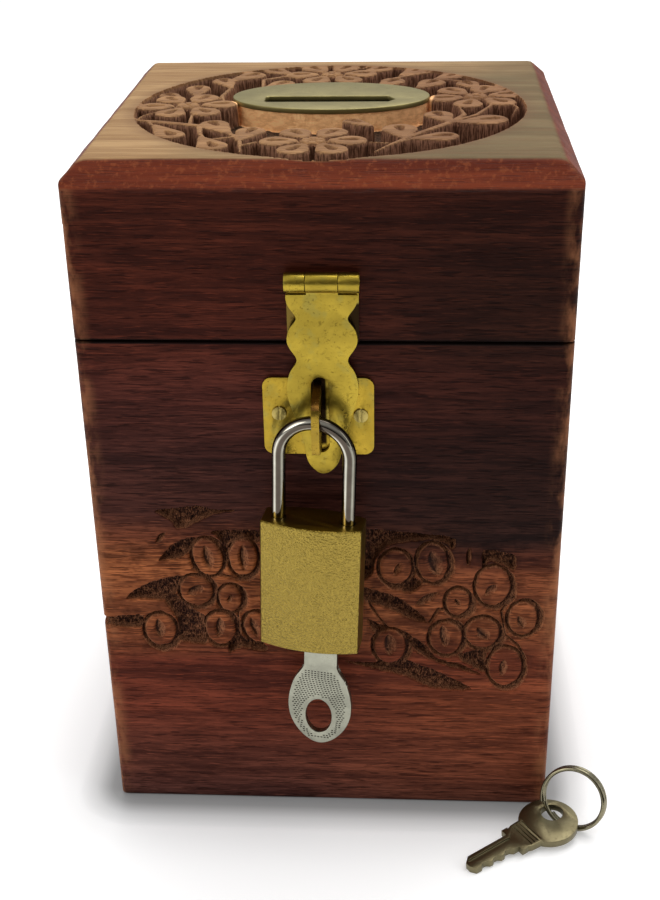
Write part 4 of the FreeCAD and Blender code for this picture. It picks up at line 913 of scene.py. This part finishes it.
# painted contact shadow: within 30 mm of a 94 mm square under the box, the floor's colour and glow fall to about a
# fifth
px_ = g.math("MAXIMUM", g.math("SUBTRACT", g.math("ABSOLUTE", g.x), 47.0), 0.0)
py_ = g.math("MAXIMUM", g.math("SUBTRACT", g.math("ABSOLUTE", g.y), 47.0), 0.0)
off = g.math("SQRT", g.math("ADD", g.math("MULTIPLY", px_, px_), g.math("MULTIPLY", py_, py_)))
near = g.ramp(g.span(off, 0.0, 30.0), [(0.0, (0.22, 0.22, 0.22, 1)), (0.12, (0.30, 0.30, 0.30, 1)), (0.28, (0.62, 0.62, 0.62, 1)), (0.5, (0.88, 0.88, 0.88, 1)), (1.0, (1, 1, 1, 1))])
pale = g.mix(g.noise(g.scale(0.01, 0.01, 0.01), 1.0, 2, 0.5), (0.86, 0.86, 0.865, 1), (0.9, 0.9, 0.9, 1))
fl.materials.append(g.done(g.mix(1.0, pale, near, "MULTIPLY"), 0.6, 0.0, None, 0.2))
# the glow follows the same painted contact shadow
g.nt.links.new(near, g.b.inputs["Emission Color"])
g.b.inputs["Emission Strength"].default_value = 0.3
floor.location.z = -0.00005

sc = bpy.context.scene
world = bpy.data.worlds.new("studio")
sc.world = world
world.use_nodes = True
wn = world.node_tree
wn.nodes.clear()
wo = wn.nodes.new("ShaderNodeOutputWorld")
bg = wn.nodes.new("ShaderNodeBackground")
tc = wn.nodes.new("ShaderNodeTexCoord")
dot = wn.nodes.new("ShaderNodeVectorMath")
dot.operation = "DOT_PRODUCT"
dot.inputs[1].default_value = Vector((0.1, -0.96, 0.26)).normalized()
rp = wn.nodes.new("ShaderNodeValToRGB")
rp.color_ramp.elements[0].position = 0.62
rp.color_ramp.elements[0].color = (0.92, 0.93, 0.95, 1)
rp.color_ramp.elements[1].position = 0.9
rp.color_ramp.elements[1].color = (0.22, 0.21, 0.2, 1)
wn.links.new(tc.outputs["Generated"], dot.inputs[0])
wn.links.new(dot.outputs["Value"], rp.inputs[0])
sepw = wn.nodes.new("ShaderNodeSeparateXYZ")
wn.links.new(tc.outputs["Generated"], sepw.inputs[0])
el = wn.nodes.new("ShaderNodeValToRGB")
el.color_ramp.elements[0].position = 0.08
el.color_ramp.elements[0].color = (0.28, 0.27, 0.26, 1)
el.color_ramp.elements[1].position = 0.55
el.color_ramp.elements[1].color = (1, 1, 1, 1)
wn.links.new(sepw.outputs[2], el.inputs[0])
mul = wn.nodes.new("ShaderNodeMix")
mul.data_type = "RGBA"
mul.blend_type = "MULTIPLY"
mul.inputs[0].default_value = 1.0
wn.links.new(rp.outputs[0], mul.inputs[6])
wn.links.new(el.outputs[0], mul.inputs[7])
wn.links.new(mul.outputs[2], bg.inputs["Color"])
bg.inputs["Strength"].default_value = 0.95
wn.links.new(bg.outputs[0], wo.inputs[0])


def area(name, loc, target, size, power, color=(1, 1, 1)):
    L = bpy.data.lights.new(name, "AREA")
    L.shape = "RECTANGLE"
    L.size, L.size_y = size
    L.energy = power
    L.color = color
    o = bpy.data.objects.new(name, L)
    sc.collection.objects.link(o)
    o.location = loc
    o.rotation_euler = (Vector(target) - Vector(loc)).to_track_quat("-Z", "Y").to_euler()
    return o


area("overhead", (0.15, 0.35, 0.95), (0, 0, 0.08), (0.8, 0.8), 7.0, (1.0, 0.98, 0.95))
area("left_soft", (-0.75, -0.55, 0.55), (0, 0, 0.08), (0.5, 0.7), 2.6, (1.0, 0.97, 0.93))
area("right_strip", (0.7, -0.35, 0.35), (0, 0, 0.08), (0.15, 0.6), 0.8, (1, 1, 1))

cam = bpy.data.cameras.new("camera")
cam.sensor_width = 36.0
cam.sensor_height = 36.0
cam.sensor_fit = "AUTO"
cam.lens = 1393.5 / 900.0 * 36.0
co = bpy.data.objects.new("camera", cam)
sc.collection.objects.link(co)
yaw, pit, rol = math.radians(-3.542), math.radians(26.955), math.radians(-1.052)
fwd = Vector((math.sin(yaw) * math.cos(pit), math.cos(yaw) * math.cos(pit), -math.sin(pit)))
rgt = fwd.cross(Vector((0, 0, 1))).normalized()
upv = rgt.cross(fwd)
r2 = rgt * math.cos(rol) + upv * math.sin(rol)
u2 = -rgt * math.sin(rol) + upv * math.cos(rol)
mw = Matrix(((r2.x, u2.x, -fwd.x, 0.01731), (r2.y, u2.y, -fwd.y, -0.3106), (r2.z, u2.z, -fwd.z, 0.22653), (0, 0, 0, 1)))
co.matrix_world = mw
cam.clip_start = 0.01
sc.camera = co
sc.view_settings.view_transform = "Standard"
sc.view_settings.look = "None"
sc.view_settings.exposure = 0.0
sc.cycles.use_denoising = True
sc.cycles.max_bounces = 8
